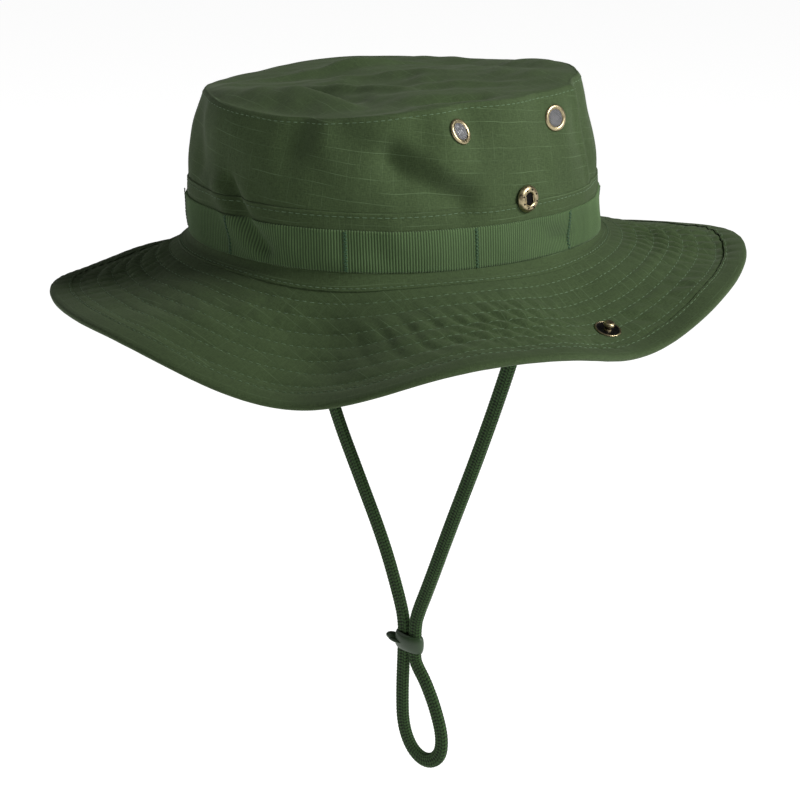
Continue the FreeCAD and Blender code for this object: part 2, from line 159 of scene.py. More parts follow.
class Ripple:
    """Smooth unevenness: a sum of seeded waves in two directions."""

    def __init__(self, seed: int, wavelength: float, height: float, count: int = 9) -> None:
        """Draws the waves.

        Args:
            seed: Seed of the draw.
            wavelength: Middle wavelength in millimetres.
            height: Root of the mean square height in millimetres.
            count: Number of waves.
        """
        rng = np.random.default_rng(seed)
        turn = rng.uniform(0.0, 2.0 * math.pi, count)
        size = 2.0 * math.pi / (wavelength * rng.uniform(0.6, 1.7, count))
        self.across = size * np.cos(turn)
        self.along = size * np.sin(turn)
        self.phase = rng.uniform(0.0, 2.0 * math.pi, count)
        self.height = height * math.sqrt(2.0 / count)

    def lift(self, u: Array, v: Array) -> Array:
        """Height of the unevenness at places given in millimetres."""
        total = np.zeros(np.broadcast(u, v).shape)
        for across, along, phase in zip(self.across, self.along, self.phase):
            total = total + np.sin(across * u + along * v + phase)
        return self.height * total


@dataclass(frozen=True)
class HatShape:
    """Driving sizes of the hat in millimetres, and the surfaces that follow from them."""

    half_width: float = 86.5
    half_length: float = 99.4
    squareness: float = 2.14
    crown_height: float = 72.0
    top_scale: float = 0.91
    top_shift: float = -6.0
    wall_bulge: float = 0.036
    wall: float = 0.8
    brim_width: float = 70.6
    brim_droop: float = 16.0
    brim_curl: float = 0.62
    brim_waves: tuple = (
        (-144.0, 9.5, 23.0), (-101.0, 3.0, 27.0), (-62.0, 24.0, 18.0), (4.0, 8.5, 17.0),
        (53.0, -13.0, 27.0), (119.0, 8.2, 23.0), (175.0, 10.5, 27.0),
    )
    seam_waves: tuple = ((1, 3.5, 2.6), (2, 0.4, 1.2), (4, -0.3, -1.2))
    seam_dip: tuple = (-136.0, -1.6, 16.0)

    def outline(self, turn: Array) -> tuple[Array, Array, Array, Array]:
        """Outline of the head opening.

        Args:
            turn: Parameter in radians, -90 degrees at the front and growing towards the wearer's left.

        Returns:
            x and y of the outline, and x and y of its outward normal.
        """
        power = 2.0 / self.squareness
        x = self.half_width * np.sign(np.cos(turn)) * np.abs(np.cos(turn)) ** power
        y = self.half_length * np.sign(np.sin(turn)) * np.abs(np.sin(turn)) ** power
        nx = np.sign(x) * np.abs(x / self.half_width) ** (self.squareness - 1.0) / self.half_width
        ny = np.sign(y) * np.abs(y / self.half_length) ** (self.squareness - 1.0) / self.half_length
        length = np.hypot(nx, ny)
        return x, y, nx / length, ny / length

    def seam_height(self, angle: Array) -> Array:
        """Height of the top seam at a direction in radians."""
        away = (np.degrees(angle) - self.seam_dip[0] + 180.0) % 360.0 - 180.0
        height = self.crown_height + self.seam_dip[1] * np.exp(-((away / self.seam_dip[2]) ** 2))
        for order, cosine, sine in self.seam_waves:
            height = height + cosine * np.cos(order * angle) + sine * np.sin(order * angle)
        return height

    def droop(self, angle: Array) -> Array:
        """Droop of the brim in radians at a direction in radians."""
        degrees = np.degrees(angle)
        total = np.full(np.shape(angle), self.brim_droop)
        for middle, extra, width in self.brim_waves:
            away = (degrees - middle + 180.0) % 360.0 - 180.0
            total = total + extra * np.exp(-((away / width) ** 2))
        return np.radians(total)

    def brim_base(self, turn: Array, out: Array, lift: Array) -> Array:
        """Smooth brim: points out along it from the crown, lifted off its middle layer."""
        x, y, nx, ny = self.outline(turn)
        droop = self.droop(np.arctan2(y, x))
        steps = 12
        across = 0.0
        down = 0.0
        for i in range(steps):
            share = (i + 0.5) / steps * out / self.brim_width
            slope = droop * (1.0 + self.brim_curl - 2.0 * self.brim_curl * share)
            across = across + np.cos(slope) * out / steps
            down = down + np.sin(slope) * out / steps
        slope = droop * (1.0 + self.brim_curl - 2.0 * self.brim_curl * out / self.brim_width)
        across = across + lift * np.sin(slope)
        return np.stack(np.broadcast_arrays(x + nx * across, y + ny * across, lift * np.cos(slope) - down), -1)

    def wall_base(self, turn: Array, height: Array, lift: Array) -> Array:
        """Smooth crown wall: points at a height in millimetres, lifted outwards."""
        x, y, nx, ny = self.outline(turn)
        share = height / self.seam_height(np.arctan2(y, x))
        scale = 1.0 + (self.top_scale - 1.0) * share + self.wall_bulge * 4.0 * share * (1.0 - share)
        px = x * scale + nx * lift
        py = y * scale + self.top_shift * share + ny * lift
        return np.stack(np.broadcast_arrays(px, py, height), -1)


SHAPE = HatShape()
TABLE_TURN = FRONT + np.linspace(-math.pi, math.pi, 8193)
TABLE_X, TABLE_Y = SHAPE.outline(TABLE_TURN)[:2]
TABLE_ARC = np.concatenate([[0.0], np.cumsum(np.hypot(np.diff(TABLE_X), np.diff(TABLE_Y)))])
TABLE_ARC = TABLE_ARC - TABLE_ARC[-1] / 2
ROUND = float(TABLE_ARC[-1] - TABLE_ARC[0])


def turn_at(arc: Array) -> Array:
    """Outline parameter at a distance round the hat from the front, growing towards the wearer's left."""
    wrapped = (np.asarray(arc) + ROUND / 2) % ROUND - ROUND / 2
    return np.interp(wrapped, TABLE_ARC, TABLE_TURN)


def arc_at(turn: Array) -> Array:
    """Distance round the hat from the front at an outline parameter."""
    wrapped = (np.asarray(turn) - FRONT + math.pi) % (2.0 * math.pi) - math.pi + FRONT
    return np.interp(wrapped, TABLE_TURN, TABLE_ARC)


def away_from_back(arc: Array, reach: float = 14.0) -> Array:
    """Share from 0 at the middle of the back to 1 away from it, so that the folds meet there."""
    wrapped = (np.asarray(arc) + ROUND / 2) % ROUND
    gap = np.minimum(wrapped, ROUND - wrapped)
    return 1.0 - np.exp(-((gap / reach) ** 2))


def hardware_places() -> Array:
    """Centres in millimetres of the vents, sockets and studs, where the cloth is held smooth."""
    nodes = [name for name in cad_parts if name.startswith(("vent_ring", "snap_socket", "snap_stud"))]
    return np.array([tuple((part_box(n)[0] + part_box(n)[1]) / 2 / MM) for n in sorted(nodes)])


PLACES = hardware_places()


def calm(points: Array, reach: float = 13.0) -> Array:
    """Share from 0 at a piece of hardware to 1 away from it, to keep the cloth smooth there."""
    share = np.ones(points.shape[:-1])
    for place in PLACES:
        away = ((points - place) ** 2).sum(-1) / reach ** 2
        share = share * (1.0 - np.exp(-away ** 2))
    return share


def add_lifts(total: Array, folds: Sequence, u: Array, v: Array) -> Array:
    """Adds the lift of several folds to a total, in order."""
    for fold in folds:
        total = total + fold.lift(u, v)
    return total


@dataclass(frozen=True)
class SoftCloth:
    """The soft folds of this hat's wall, top panel and brim."""

    wall_creases: tuple = (
        Crease((82.0, 52.0), (113.0, 33.0), 8.0, -5.6),
        Crease((78.0, 62.0), (104.0, 45.0), 9.0, 1.6),
        Crease((58.0, 62.0), (84.0, 51.0), 9.0, -1.8),
        Crease((197.0, 74.0), (202.0, 34.0), 3.5, 1.8),
        Crease((210.0, 72.0), (209.0, 36.0), 7.0, -2.4),
        Crease((38.0, 71.0), (36.0, 58.0), 8.0, -3.4),
        Crease((-2.0, 36.0), (22.0, 9.0), 3.4, -3.2),
        Crease((-10.0, 33.0), (13.0, 6.0), 5.0, 1.8),
        Crease((10.0, 34.0), (33.0, 14.0), 5.0, 1.0),
        Crease((-40.0, 60.0), (-30.0, 40.0), 9.0, -2.2),
        Crease((-128.0, 62.0), (-96.0, 37.0), 10.0, -2.4),
        Crease((-205.0, 66.0), (-232.0, 40.0), 9.0, -2.6),
        Crease((262.0, 66.0), (292.0, 38.0), 9.0, -2.4),
        Crease((150.0, 20.0), (176.0, 6.0), 5.0, -1.0),
    )
    seat_folds: tuple = (
        Tilt((114.5, 64.0), (-0.42, -0.40), 13.0),
        Tilt((176.9, 64.0), (0.30, 0.0), 14.0),
    )
    top_creases: tuple = (
        Crease((-26.0, -86.0), (34.0, -70.0), 11.0, 6.4, 0.55),
        Crease((-12.0, -74.0), (44.0, -62.0), 5.5, 3.0, 0.9),
        Crease((-20.0, -62.0), (36.0, -50.0), 6.0, -2.8, 0.9),
        Crease((56.0, -48.0), (68.0, -6.0), 5.5, -5.5, 0.8),
        Crease((-14.0, -52.0), (40.0, -24.0), 4.2, 3.4, 0.9),
        Crease((22.0, -34.0), (56.0, 26.0), 5.0, 2.8, 0.9),
        Crease((-46.0, -66.0), (-38.0, 10.0), 4.6, 3.4, 0.9),
        Crease((-40.0, -10.0), (-30.0, 50.0), 4.6, 3.2, 0.9),
        Crease((-24.0, -36.0), (20.0, 18.0), 5.0, 2.4, 0.9),
        Crease((-20.0, 50.0), (30.0, 62.0), 9.0, -2.4, 0.6),
    )
    puckers: tuple = (
        Pucker(-68.0, 36.0, 28.0, 28.0, 5.8, 0.05, 1.9),
        Pucker(-124.0, 38.0, 28.0, 28.0, 7.0, -0.10, 0.8),
        Pucker(84.0, 34.0, 18.0, 18.0, 8.5, -0.45, 0.55),
        Pucker(118.0, 38.0, 26.0, 19.0, 8.2, -0.62, 1.4),
        Pucker(143.0, 56.0, 10.0, 9.0, 7.0, -0.70, 0.9),
        Pucker(170.0, 50.0, 12.0, 12.0, 10.0, -0.6, 0.7),
        Pucker(194.0, 52.0, 11.0, 10.0, 8.0, -0.3, 0.6),
        Pucker(236.0, 38.0, 26.0, 26.0, 6.6, 0.1, 1.5),
        Pucker(-225.0, 36.0, 34.0, 26.0, 7.5, 0.1, 0.7),
        Pucker(30.0, 20.0, 18.0, 10.0, 9.0, 0.3, 0.25),
    )
    brim_creases: tuple = (
        Crease((224.0, 76.0), (226.0, 50.0), 12.0, -3.2),
        Crease((196.0, 74.0), (194.0, 58.0), 7.0, 1.2),
    )
    rows: tuple = (12.2, 19.2, 27.2, 34.3, 41.3, 48.6, 57.0)
    wall_ripple: Ripple = Ripple(3, 48.0, 0.55)
    wall_fine: Ripple = Ripple(5, 15.0, 0.12)
    top_ripple: Ripple = Ripple(7, 42.0, 0.7)
    top_fine: Ripple = Ripple(11, 14.0, 0.22)
    brim_ripple: Ripple = Ripple(13, 26.0, 0.25)
    brim_fine: Ripple = Ripple(17, 9.0, 0.06)

    def wall_lift(self, arc: Array, height: Array) -> Array:
        """Millimetres that the folds move the crown wall outwards."""
        total = self.wall_ripple.lift(arc, height * 1.6) + self.wall_fine.lift(arc, height)
        return add_lifts(total, self.wall_creases, arc, height)

    def seat_lift(self, arc: Array, height: Array) -> Array:
        """Millimetres that the wall moves outwards in the broad folds that its hardware follows."""
        return add_lifts(np.zeros(np.broadcast(arc, height).shape), self.seat_folds, arc, height)

    def top_lift(self, x: Array, y: Array) -> Array:
        """Millimetres that the folds raise the top panel."""
        return add_lifts(self.top_ripple.lift(x, y) + self.top_fine.lift(x, y), self.top_creases, x, y)

    def brim_lift(self, arc: Array, out: Array) -> Array:
        """Millimetres that the puckers raise the brim."""
        total = self.brim_ripple.lift(arc, out * 1.3) + self.brim_fine.lift(arc, out)
        held = np.zeros(np.broadcast(arc, out).shape)
        for row in self.rows:
            held = held + np.exp(-(((out - row) / 1.9) ** 2))
        for pucker in self.puckers:
            total = total + pucker.lift(arc, out) * (1.0 - 0.62 * held)
        return add_lifts(total, self.brim_creases, arc, out)


CLOTH = SoftCloth()


def wall_surface(arc: Array, height: Array, lift: Array) -> Array:
    """Crown wall with its folds.

    Args:
        arc: Distance round the hat from the front, in millimetres.
        height: Height in millimetres.
        lift: Distance off the wall's outer face, in millimetres.

    Returns:
        Points in millimetres.
    """
    turn = turn_at(arc)
    base = SHAPE.wall_base(turn, height, lift)
    fade = np.clip((height - 2.0) / 8.0, 0.0, 1.0)
    fold = (CLOTH.wall_lift(arc, height) * calm(base) + CLOTH.seat_lift(arc, height)) * fade * away_from_back(arc)
    return SHAPE.wall_base(turn, height, lift + fold)


def brim_surface(arc: Array, out: Array, lift: Array) -> Array:
    """Brim with its puckers: points round it and out along it, lifted off its middle layer."""
    turn = turn_at(arc)
    base = SHAPE.brim_base(turn, out, lift)
    fade = np.clip((out - 6.0) / 12.0, 0.0, 1.0) * np.clip((SHAPE.brim_width + 3.0 - out) / 16.0, 0.25, 1.0)
    fold = CLOTH.brim_lift(arc, out) * calm(base, 11.0) * fade * away_from_back(arc)
    return SHAPE.brim_base(turn, out, lift + fold)


# ---------------------------------------------------------------- mesh helpers


def deselect() -> None:
    """Leaves nothing selected and no object in edit mode."""
    if bpy.context.object is not None and bpy.context.object.mode != "OBJECT":
        bpy.ops.object.mode_set(mode="OBJECT")
    bpy.ops.object.select_all(action="DESELECT")


def finish_mesh(piece: bpy.types.Object, material: bpy.types.Material, sharp: float = 50.0) -> bpy.types.Object:
    """Gives a piece its only material and smooth faces with sharp corners.

    Args:
        piece: Mesh object.
        material: Its finish.
        sharp: Corners over this many degrees stay sharp.

    Returns:
        The same object.
    """
    mesh = piece.data
    mesh.materials.clear()
    mesh.materials.append(material)
    mesh.polygons.foreach_set("use_smooth", np.ones(len(mesh.polygons), bool))
    mesh.set_sharp_from_angle(angle=math.radians(sharp))
    mesh.update()
    return piece


def mesh_from(name: str, points: Array, quads: Array, grain: Array | None) -> bpy.types.Object:
    """Makes a mesh object from points in millimetres.

    Args:
        name: Name of the piece.
        points: (n, 3) points in millimetres.
        quads: (m, 4) indices of the corners of each face.
        grain: (m, 4, 2) place of each corner on the cut cloth in millimetres, or None.

    Returns:
        The object, linked to the scene, with its faces turned outwards.
    """
    corners = points[quads]
    area = np.cross(corners[:, 1] - corners[:, 0], corners[:, 2] - corners[:, 0])
    area = area + np.cross(corners[:, 2] - corners[:, 0], corners[:, 3] - corners[:, 0])
    if (area * corners.mean(1)).sum() < 0.0:
        quads = quads[:, ::-1]
        grain = None if grain is None else grain[:, ::-1]
    mesh = bpy.data.meshes.new(name)
    mesh.vertices.add(len(points))
    mesh.vertices.foreach_set("co", (points * MM).astype(np.float32).ravel())
    mesh.loops.add(quads.size)
    mesh.loops.foreach_set("vertex_index", quads.astype(np.int32).ravel())
    mesh.polygons.add(len(quads))
    mesh.polygons.foreach_set("loop_start", np.arange(0, quads.size, 4, dtype=np.int32))
    mesh.update(calc_edges=True)
    if grain is not None:
        layer = mesh.uv_layers.new(name="grain")
        layer.data.foreach_set("uv", grain.astype(np.float32).ravel())
    mesh.validate()
    piece = bpy.data.objects.new(name, mesh)
    bpy.context.scene.collection.objects.link(piece)
    return piece


def cloth_panel(name: str, outer: Array, inner: Array, grain: Array, closed: bool) -> bpy.types.Object:
    """Closed thin cloth between an outer and an inner grid of points.

    Args:
        name: Name of the piece.
        outer, inner: (rows, columns, 3) points in millimetres.
        grain: (rows, columns, 2) place on the cut cloth in millimetres.
        closed: True where the last column lies on the first.

    Returns:
        The object.
    """
    rows, columns = outer.shape[:2]
    count = columns - 1 if closed else columns
    points = np.concatenate([outer[:, :count].reshape(-1, 3), inner[:, :count].reshape(-1, 3)])
    r, c = np.meshgrid(np.arange(rows - 1), np.arange(columns - 1), indexing="ij")
    r, c = r.ravel(), c.ravel()
    around = np.arange(columns - 1)
    up = np.arange(rows - 1)
    zero, last = np.zeros_like(around), np.full_like(around, rows - 1)
    parts = [
        [(0, r, c), (0, r, c + 1), (0, r + 1, c + 1), (0, r + 1, c)],
        [(1, r, c), (1, r + 1, c), (1, r + 1, c + 1), (1, r, c + 1)],
        [(0, zero, around + 1), (0, zero, around), (1, zero, around), (1, zero, around + 1)],
        [(0, last, around), (0, last, around + 1), (1, last, around + 1), (1, last, around)],
    ]
    if not closed:
        start, end = np.zeros_like(up), np.full_like(up, columns - 1)
        parts.append([(0, up, start), (0, up + 1, start), (1, up + 1, start), (1, up, start)])
        parts.append([(0, up + 1, end), (0, up, end), (1, up, end), (1, up + 1, end)])
    quads, places = [], []
    for part in parts:
        corners = [layer * rows * count + row * count + column % count for layer, row, column in part]
        quads.append(np.stack(corners, -1))
        places.append(np.stack([grain[row, column] for _, row, column in part], 1))
    return mesh_from(name, points, np.concatenate(quads), np.concatenate(places))


def store_relief(piece: bpy.types.Object, relief: Array) -> None:
    """Stores how proud each point of a piece stands, from 0 in a groove to 1, for its painted groove shade."""
    layer = piece.data.attributes.new("relief", "FLOAT", "POINT")
    layer.data.foreach_set("value", np.clip(relief, 0.0, 1.0).astype(np.float32))


def merge_doubles(piece: bpy.types.Object) -> None:
    """Merges points that lie on each other, as at a pole."""
    shell = bmesh.new()
    shell.from_mesh(piece.data)
    bmesh.ops.remove_doubles(shell, verts=shell.verts, dist=1e-6)
    shell.to_mesh(piece.data)
    shell.free()


STITCH_RINGS = ((-0.5, 0.45, -0.7), (-0.3, 0.95, 0.15), (0.0, 1.0, 0.4), (0.3, 0.95, 0.15), (0.5, 0.45, -0.7))
STITCH_SIDES = 5
THREAD_RADIUS = 0.17


def stitch_mesh(name: str, middles: Array, along: Array, up: Array, radius: float) -> bpy.types.Object:
    """Thread stitches as small bowed rods whose ends dip into the cloth.

    Args:
        name: Name of the piece.
        middles: (n, 3) middle of each stitch on the cloth, in millimetres.
        along: (n, 3) each stitch from end to end, in millimetres.
        up: (n, 3) unit normals of the cloth.
        radius: Radius of the thread in millimetres.

    Returns:
        The object.
    """
    count = len(middles)
    side = np.cross(up, along)
    side = side / np.linalg.norm(side, axis=1, keepdims=True)
    rings = []
    for place, size, rise in STITCH_RINGS:
        centre = middles + along * place + up * (radius * rise)
        for k in range(STITCH_SIDES):
            turn = 2.0 * math.pi * k / STITCH_SIDES
            rings.append(centre + radius * size * (side * math.cos(turn) + up * math.sin(turn)))
    points = np.stack(rings, 1).reshape(-1, 3)
    template = []
    for ring in range(len(STITCH_RINGS) - 1):
        for k in range(STITCH_SIDES):
            a = ring * STITCH_SIDES + k
            b = ring * STITCH_SIDES + (k + 1) % STITCH_SIDES
            template.append((a, a + STITCH_SIDES, b + STITCH_SIDES, b))
    faces = np.array(template)
    step = len(STITCH_RINGS) * STITCH_SIDES
    quads = (faces[None] + step * np.arange(count)[:, None, None]).reshape(-1, 4)
    return mesh_from(name, points, quads, None)


def row_of_stitches(
    surface: Callable[[Array, Array], Array], start: float, end: float, level: float, pitch: float, share: float = 0.68
) -> tuple[Array, Array, Array]:
    """Places stitches along one row of a surface.

    Args:
        surface: Gives points from a place round the hat and a place up or out along the cloth.
        start, end: Reach of the row round the hat, in millimetres.
        level: Place of the row up or out along the cloth.
        pitch: Distance from stitch to stitch in millimetres.
        share: Length of a stitch as a share of the pitch.

    Returns:
        Middles, end-to-end vectors and normals of the stitches.
    """
    arcs = np.linspace(start, end, 2400)
    line = surface(arcs, np.full_like(arcs, level))
    run = np.concatenate([[0.0], np.cumsum(np.linalg.norm(np.diff(line, axis=0), axis=1))])
    count = max(1, int(run[-1] / pitch))
    centres = (np.arange(count) + 0.5) * run[-1] / count
    where = np.interp(centres, run, arcs)
    half = 0.5 * share * pitch
    before = np.interp(centres - half, run, arcs)
    after = np.interp(centres + half, run, arcs)
    at = np.full_like(where, level)
    middle = surface(where, at)
    along = surface(after, at) - surface(before, at)
    outwards = surface(where, at + 0.4) - surface(where, at - 0.4)
    up = np.cross(along, outwards)
    return middle, along, up / np.linalg.norm(up, axis=1, keepdims=True)


def join_rows(rows: Sequence[tuple[Array, Array, Array]]) -> tuple[Array, Array, Array]:
    """Joins several rows of stitches into one set."""
    return tuple(np.concatenate(part) for part in zip(*rows))


def facing(rows: tuple[Array, Array, Array], outward: Array) -> tuple[Array, Array, Array]:
    """Turns the normals of stitches to the side of a direction or of directions."""
    middle, along, up = rows
    flip = np.where((up * outward).sum(1, keepdims=True) < 0.0, -1.0, 1.0)
    return middle, along, up * flip


# ---------------------------------------------------------------- finishes


def group_tree(name: str, inputs: Sequence[tuple[str, str, object]], outputs: Sequence[tuple[str, str]]):
    """Starts a shader node group.

    Args:
        name: Name of the group.
        inputs: Name, socket type and default value of each input.
        outputs: Name and socket type of each output.

    Returns:
        The tree, its input node and its output node.
    """
    tree = bpy.data.node_groups.new(name, "ShaderNodeTree")
    for title, kind, value in inputs:
        socket = tree.interface.new_socket(name=title, in_out="INPUT", socket_type=kind)
        if value is not None:
            socket.default_value = value
    for title, kind in outputs:
        tree.interface.new_socket(name=title, in_out="OUTPUT", socket_type=kind)
    return tree, tree.nodes.new("NodeGroupInput"), tree.nodes.new("NodeGroupOutput")


@dataclass
class Wiring:
    """Short ways to add nodes to one tree."""

    tree: bpy.types.NodeTree

    def plug(self, value: object, socket: bpy.types.NodeSocket) -> None:
        """Links a socket, or sets a plain value."""
        if isinstance(value, bpy.types.NodeSocket):
            self.tree.links.new(value, socket)
        else:
            socket.default_value = value

    def math(self, kind: str, first: object, second: object = 0.0, third: object = 0.0) -> bpy.types.NodeSocket:
        """Adds a Math node and gives its result."""
        node = self.tree.nodes.new("ShaderNodeMath")
        node.operation = kind
        for value, socket in zip((first, second, third), node.inputs):
            self.plug(value, socket)
        return node.outputs[0]

    def scaled(self, vector: object, scale: tuple[float, float, float]) -> bpy.types.NodeSocket:
        """Stretches a vector by a scale on each axis."""
        node = self.tree.nodes.new("ShaderNodeVectorMath")
        node.operation = "MULTIPLY"
        self.plug(vector, node.inputs[0])
        self.plug(scale, node.inputs[1])
        return node.outputs[0]

    def noise(self, vector: object, scale: float, detail: float = 2.0, rough: float = 0.5) -> bpy.types.NodeSocket:
        """Adds a Noise Texture and gives its factor."""
        node = self.tree.nodes.new("ShaderNodeTexNoise")
        self.set_inputs(node, Vector=vector, Scale=scale, Detail=detail, Roughness=rough)
        return node.outputs["Fac"]

    def ramp(self, value: object, low: float, high: float, to_low: float = 0.0, to_high: float = 1.0):
        """Maps a value smoothly from one range to another."""
        node = self.tree.nodes.new("ShaderNodeMapRange")
        node.interpolation_type = "SMOOTHSTEP"
        self.set_inputs(node, Value=value, From_Min=low, From_Max=high, To_Min=to_low, To_Max=to_high)
        return node.outputs["Result"]

    def mix(self, share: object, first: object, second: object) -> bpy.types.NodeSocket:
        """Mixes two colours."""
        node = self.tree.nodes.new("ShaderNodeMix")
        node.data_type = "RGBA"
        self.plug(share, node.inputs[0])
        self.plug(first, node.inputs[6])
        self.plug(second, node.inputs[7])
        return node.outputs[2]

    def shade(self, colour: object, value: object) -> bpy.types.NodeSocket:
        """Brightens or darkens a colour by a factor."""
        node = self.tree.nodes.new("ShaderNodeVectorMath")
        node.operation = "SCALE"
        self.plug(colour, node.inputs[0])
        self.plug(value, node.inputs["Scale"])
        return node.outputs[0]

    def set_inputs(self, node: bpy.types.Node, **values: object) -> bpy.types.Node:
        """Links or sets inputs of a node by name, with _ for a space."""
        for title, value in values.items():
            self.plug(value, node.inputs[title.replace("_", " ")])
        return node

    def group(self, tree: bpy.types.NodeTree, **values: object) -> bpy.types.Node:
        """Places a node group and sets its inputs by name."""
        node = self.tree.nodes.new("ShaderNodeGroup")
        node.node_tree = tree
        return self.set_inputs(node, **values)


def ripstop_group() -> bpy.types.NodeTree:
    """Ripstop weave: fine plain weave with a grid of thicker threads.

    Returns:
        A group with Grain, Colour, Thread Colour, Pitch and Fade in, and Colour, Roughness and Height out.
    """
    tree, inside, outside = group_tree(
        "ripstop_weave",
        [
            ("Grain", "NodeSocketVector", None),
            ("Colour", "NodeSocketColor", (0.06, 0.08, 0.045, 1.0)),
            ("Thread Colour", "NodeSocketColor", (0.12, 0.16, 0.09, 1.0)),
            ("Pitch", "NodeSocketFloat", 5.4),
            ("Fade", "NodeSocketFloat", 0.5),
        ],
        [("Colour", "NodeSocketColor"), ("Roughness", "NodeSocketFloat"), ("Height", "NodeSocketFloat")],
    )
    w = Wiring(tree)
    grain = inside.outputs["Grain"]
    split = tree.nodes.new("ShaderNodeSeparateXYZ")
    tree.links.new(grain, split.inputs[0])
    wander = w.math("MULTIPLY", w.math("SUBTRACT", w.noise(grain, 0.03, 1.0), 0.5), 3.0)
    lines = []
    for axis, strength in (("X", 0.42), ("Y", 1.0)):
        place = w.math("DIVIDE", w.math("ADD", split.outputs[axis], wander), inside.outputs["Pitch"])
        cell = w.math("ABSOLUTE", w.math("SUBTRACT", w.math("FRACT", place), 0.5))
        lines.append(w.math("MULTIPLY", w.ramp(cell, 0.042, 0.0), strength))
    patch_x = w.ramp(w.noise(w.scaled(grain, (0.05, 0.12, 1.0)), 1.0, 2.0), 0.38, 0.68)
    patch_y = w.ramp(w.noise(w.scaled(grain, (0.12, 0.05, 1.0)), 1.3, 2.0), 0.38, 0.68)
    line = w.math("MAXIMUM", w.math("MULTIPLY", lines[0], patch_y), w.math("MULTIPLY", lines[1], patch_x))
    weft = w.noise(w.scaled(grain, (0.35, 3.1, 1.0)), 1.0, 1.0, 0.6)
    warp = w.noise(w.scaled(grain, (3.1, 0.35, 1.0)), 1.0, 1.0, 0.6)
    threads = w.math("ADD", weft, warp)
    speck = w.noise(grain, 1.15, 3.0, 0.7)
    broad = w.noise(grain, 0.022, 3.0, 0.55)
    tone = w.math("ADD", w.ramp(threads, 0.7, 1.3, 0.84, 1.16), w.ramp(speck, 0.3, 0.7, -0.12, 0.12))
    tone = w.math("MULTIPLY", tone, w.ramp(broad, 0.3, 0.7, 0.93, 1.07))
    base = w.shade(inside.outputs["Colour"], tone)
    colour = w.mix(w.math("MULTIPLY", line, inside.outputs["Fade"]), base, inside.outputs["Thread Colour"])
    tree.links.new(colour, outside.inputs["Colour"])
    w.plug(w.ramp(threads, 0.6, 1.4, 0.94, 0.84), outside.inputs["Roughness"])
    height = w.math("ADD", w.math("MULTIPLY", threads, 0.35), w.math("MULTIPLY", line, 0.5))
    w.plug(w.math("ADD", height, w.math("MULTIPLY", speck, 0.3)), outside.inputs["Height"])
    return tree


def fibre_group() -> bpy.types.NodeTree:
    """Plain cloth, tape or thread: streaky fibres and soft blotches of tone.

    Returns:
        A group with Grain, Colour, Fine and Contrast in, and Colour and Height out.
    """
    tree, inside, outside = group_tree(
        "fibre_streaks",
        [
            ("Grain", "NodeSocketVector", None),
            ("Colour", "NodeSocketColor", (0.06, 0.08, 0.045, 1.0)),
            ("Fine", "NodeSocketFloat", 1.0),
            ("Contrast", "NodeSocketFloat", 0.2),
        ],
        [("Colour", "NodeSocketColor"), ("Height", "NodeSocketFloat")],
    )
    w = Wiring(tree)
    node = tree.nodes.new("ShaderNodeVectorMath")
    node.operation = "SCALE"
    tree.links.new(inside.outputs["Grain"], node.inputs[0])
    tree.links.new(inside.outputs["Fine"], node.inputs["Scale"])
    place = node.outputs[0]
    across = w.noise(w.scaled(place, (0.4, 3.0, 1.5)), 1.0, 2.0)
    along = w.noise(w.scaled(place, (3.0, 0.4, 1.5)), 1.0, 2.0)
    fibres = w.math("ADD", across, along)
    blotch = w.noise(place, 0.05, 3.0)
    swing = w.math("ADD", w.math("SUBTRACT", fibres, 1.0), w.math("MULTIPLY", w.math("SUBTRACT", blotch, 0.5), 0.7))
    tone = w.math("ADD", 1.0, w.math("MULTIPLY", swing, inside.outputs["Contrast"]))
    tree.links.new(w.shade(inside.outputs["Colour"], tone), outside.inputs["Colour"])
    tree.links.new(fibres, outside.inputs["Height"])
    return tree


def wear_group() -> bpy.types.NodeTree:
    """Antique metal: dark patina in the hollows and rubbed metal on the edges.

    Returns:
        A group with Place, Bright, Dark and Patina in, and Colour, Roughness and Height out.
    """
    tree, inside, outside = group_tree(
        "rubbed_patina",
        [
            ("Place", "NodeSocketVector", None),
            ("Bright", "NodeSocketColor", (0.5, 0.4, 0.22, 1.0)),
            ("Dark", "NodeSocketColor", (0.05, 0.04, 0.025, 1.0)),
            ("Patina", "NodeSocketFloat", 0.5),
        ],
        [("Colour", "NodeSocketColor"), ("Roughness", "NodeSocketFloat"), ("Height", "NodeSocketFloat")],
    )
    w = Wiring(tree)
    geometry = tree.nodes.new("ShaderNodeNewGeometry")
    edge = w.ramp(geometry.outputs["Pointiness"], 0.46, 0.56)
    blotch = w.noise(inside.outputs["Place"], 900.0, 4.0, 0.6)
    scratch = w.noise(w.scaled(inside.outputs["Place"], (1.0, 1.0, 9.0)), 1500.0, 2.0, 0.6)
    rubbed = w.math("ADD", w.math("MULTIPLY", edge, 0.6), w.math("MULTIPLY", blotch, 0.7))
    share = w.ramp(w.math("SUBTRACT", rubbed, w.math("MULTIPLY", inside.outputs["Patina"], 0.6)), 0.1, 0.62)
    tree.links.new(w.mix(share, inside.outputs["Dark"], inside.outputs["Bright"]), outside.inputs["Colour"])
    w.plug(w.ramp(w.math("ADD", blotch, scratch), 0.7, 1.3, 0.24, 0.46), outside.inputs["Roughness"])
    w.plug(w.math("ADD", blotch, scratch), outside.inputs["Height"])
    return tree


@dataclass
class Paint:
    """The shared node groups, each built once."""

    ripstop: bpy.types.NodeTree
    fibre: bpy.types.NodeTree
    wear: bpy.types.NodeTree


Colour = tuple[float, float, float]


def opaque(colour: Colour) -> tuple[float, float, float, float]:
    """A colour with full alpha."""
    return (*colour, 1.0)


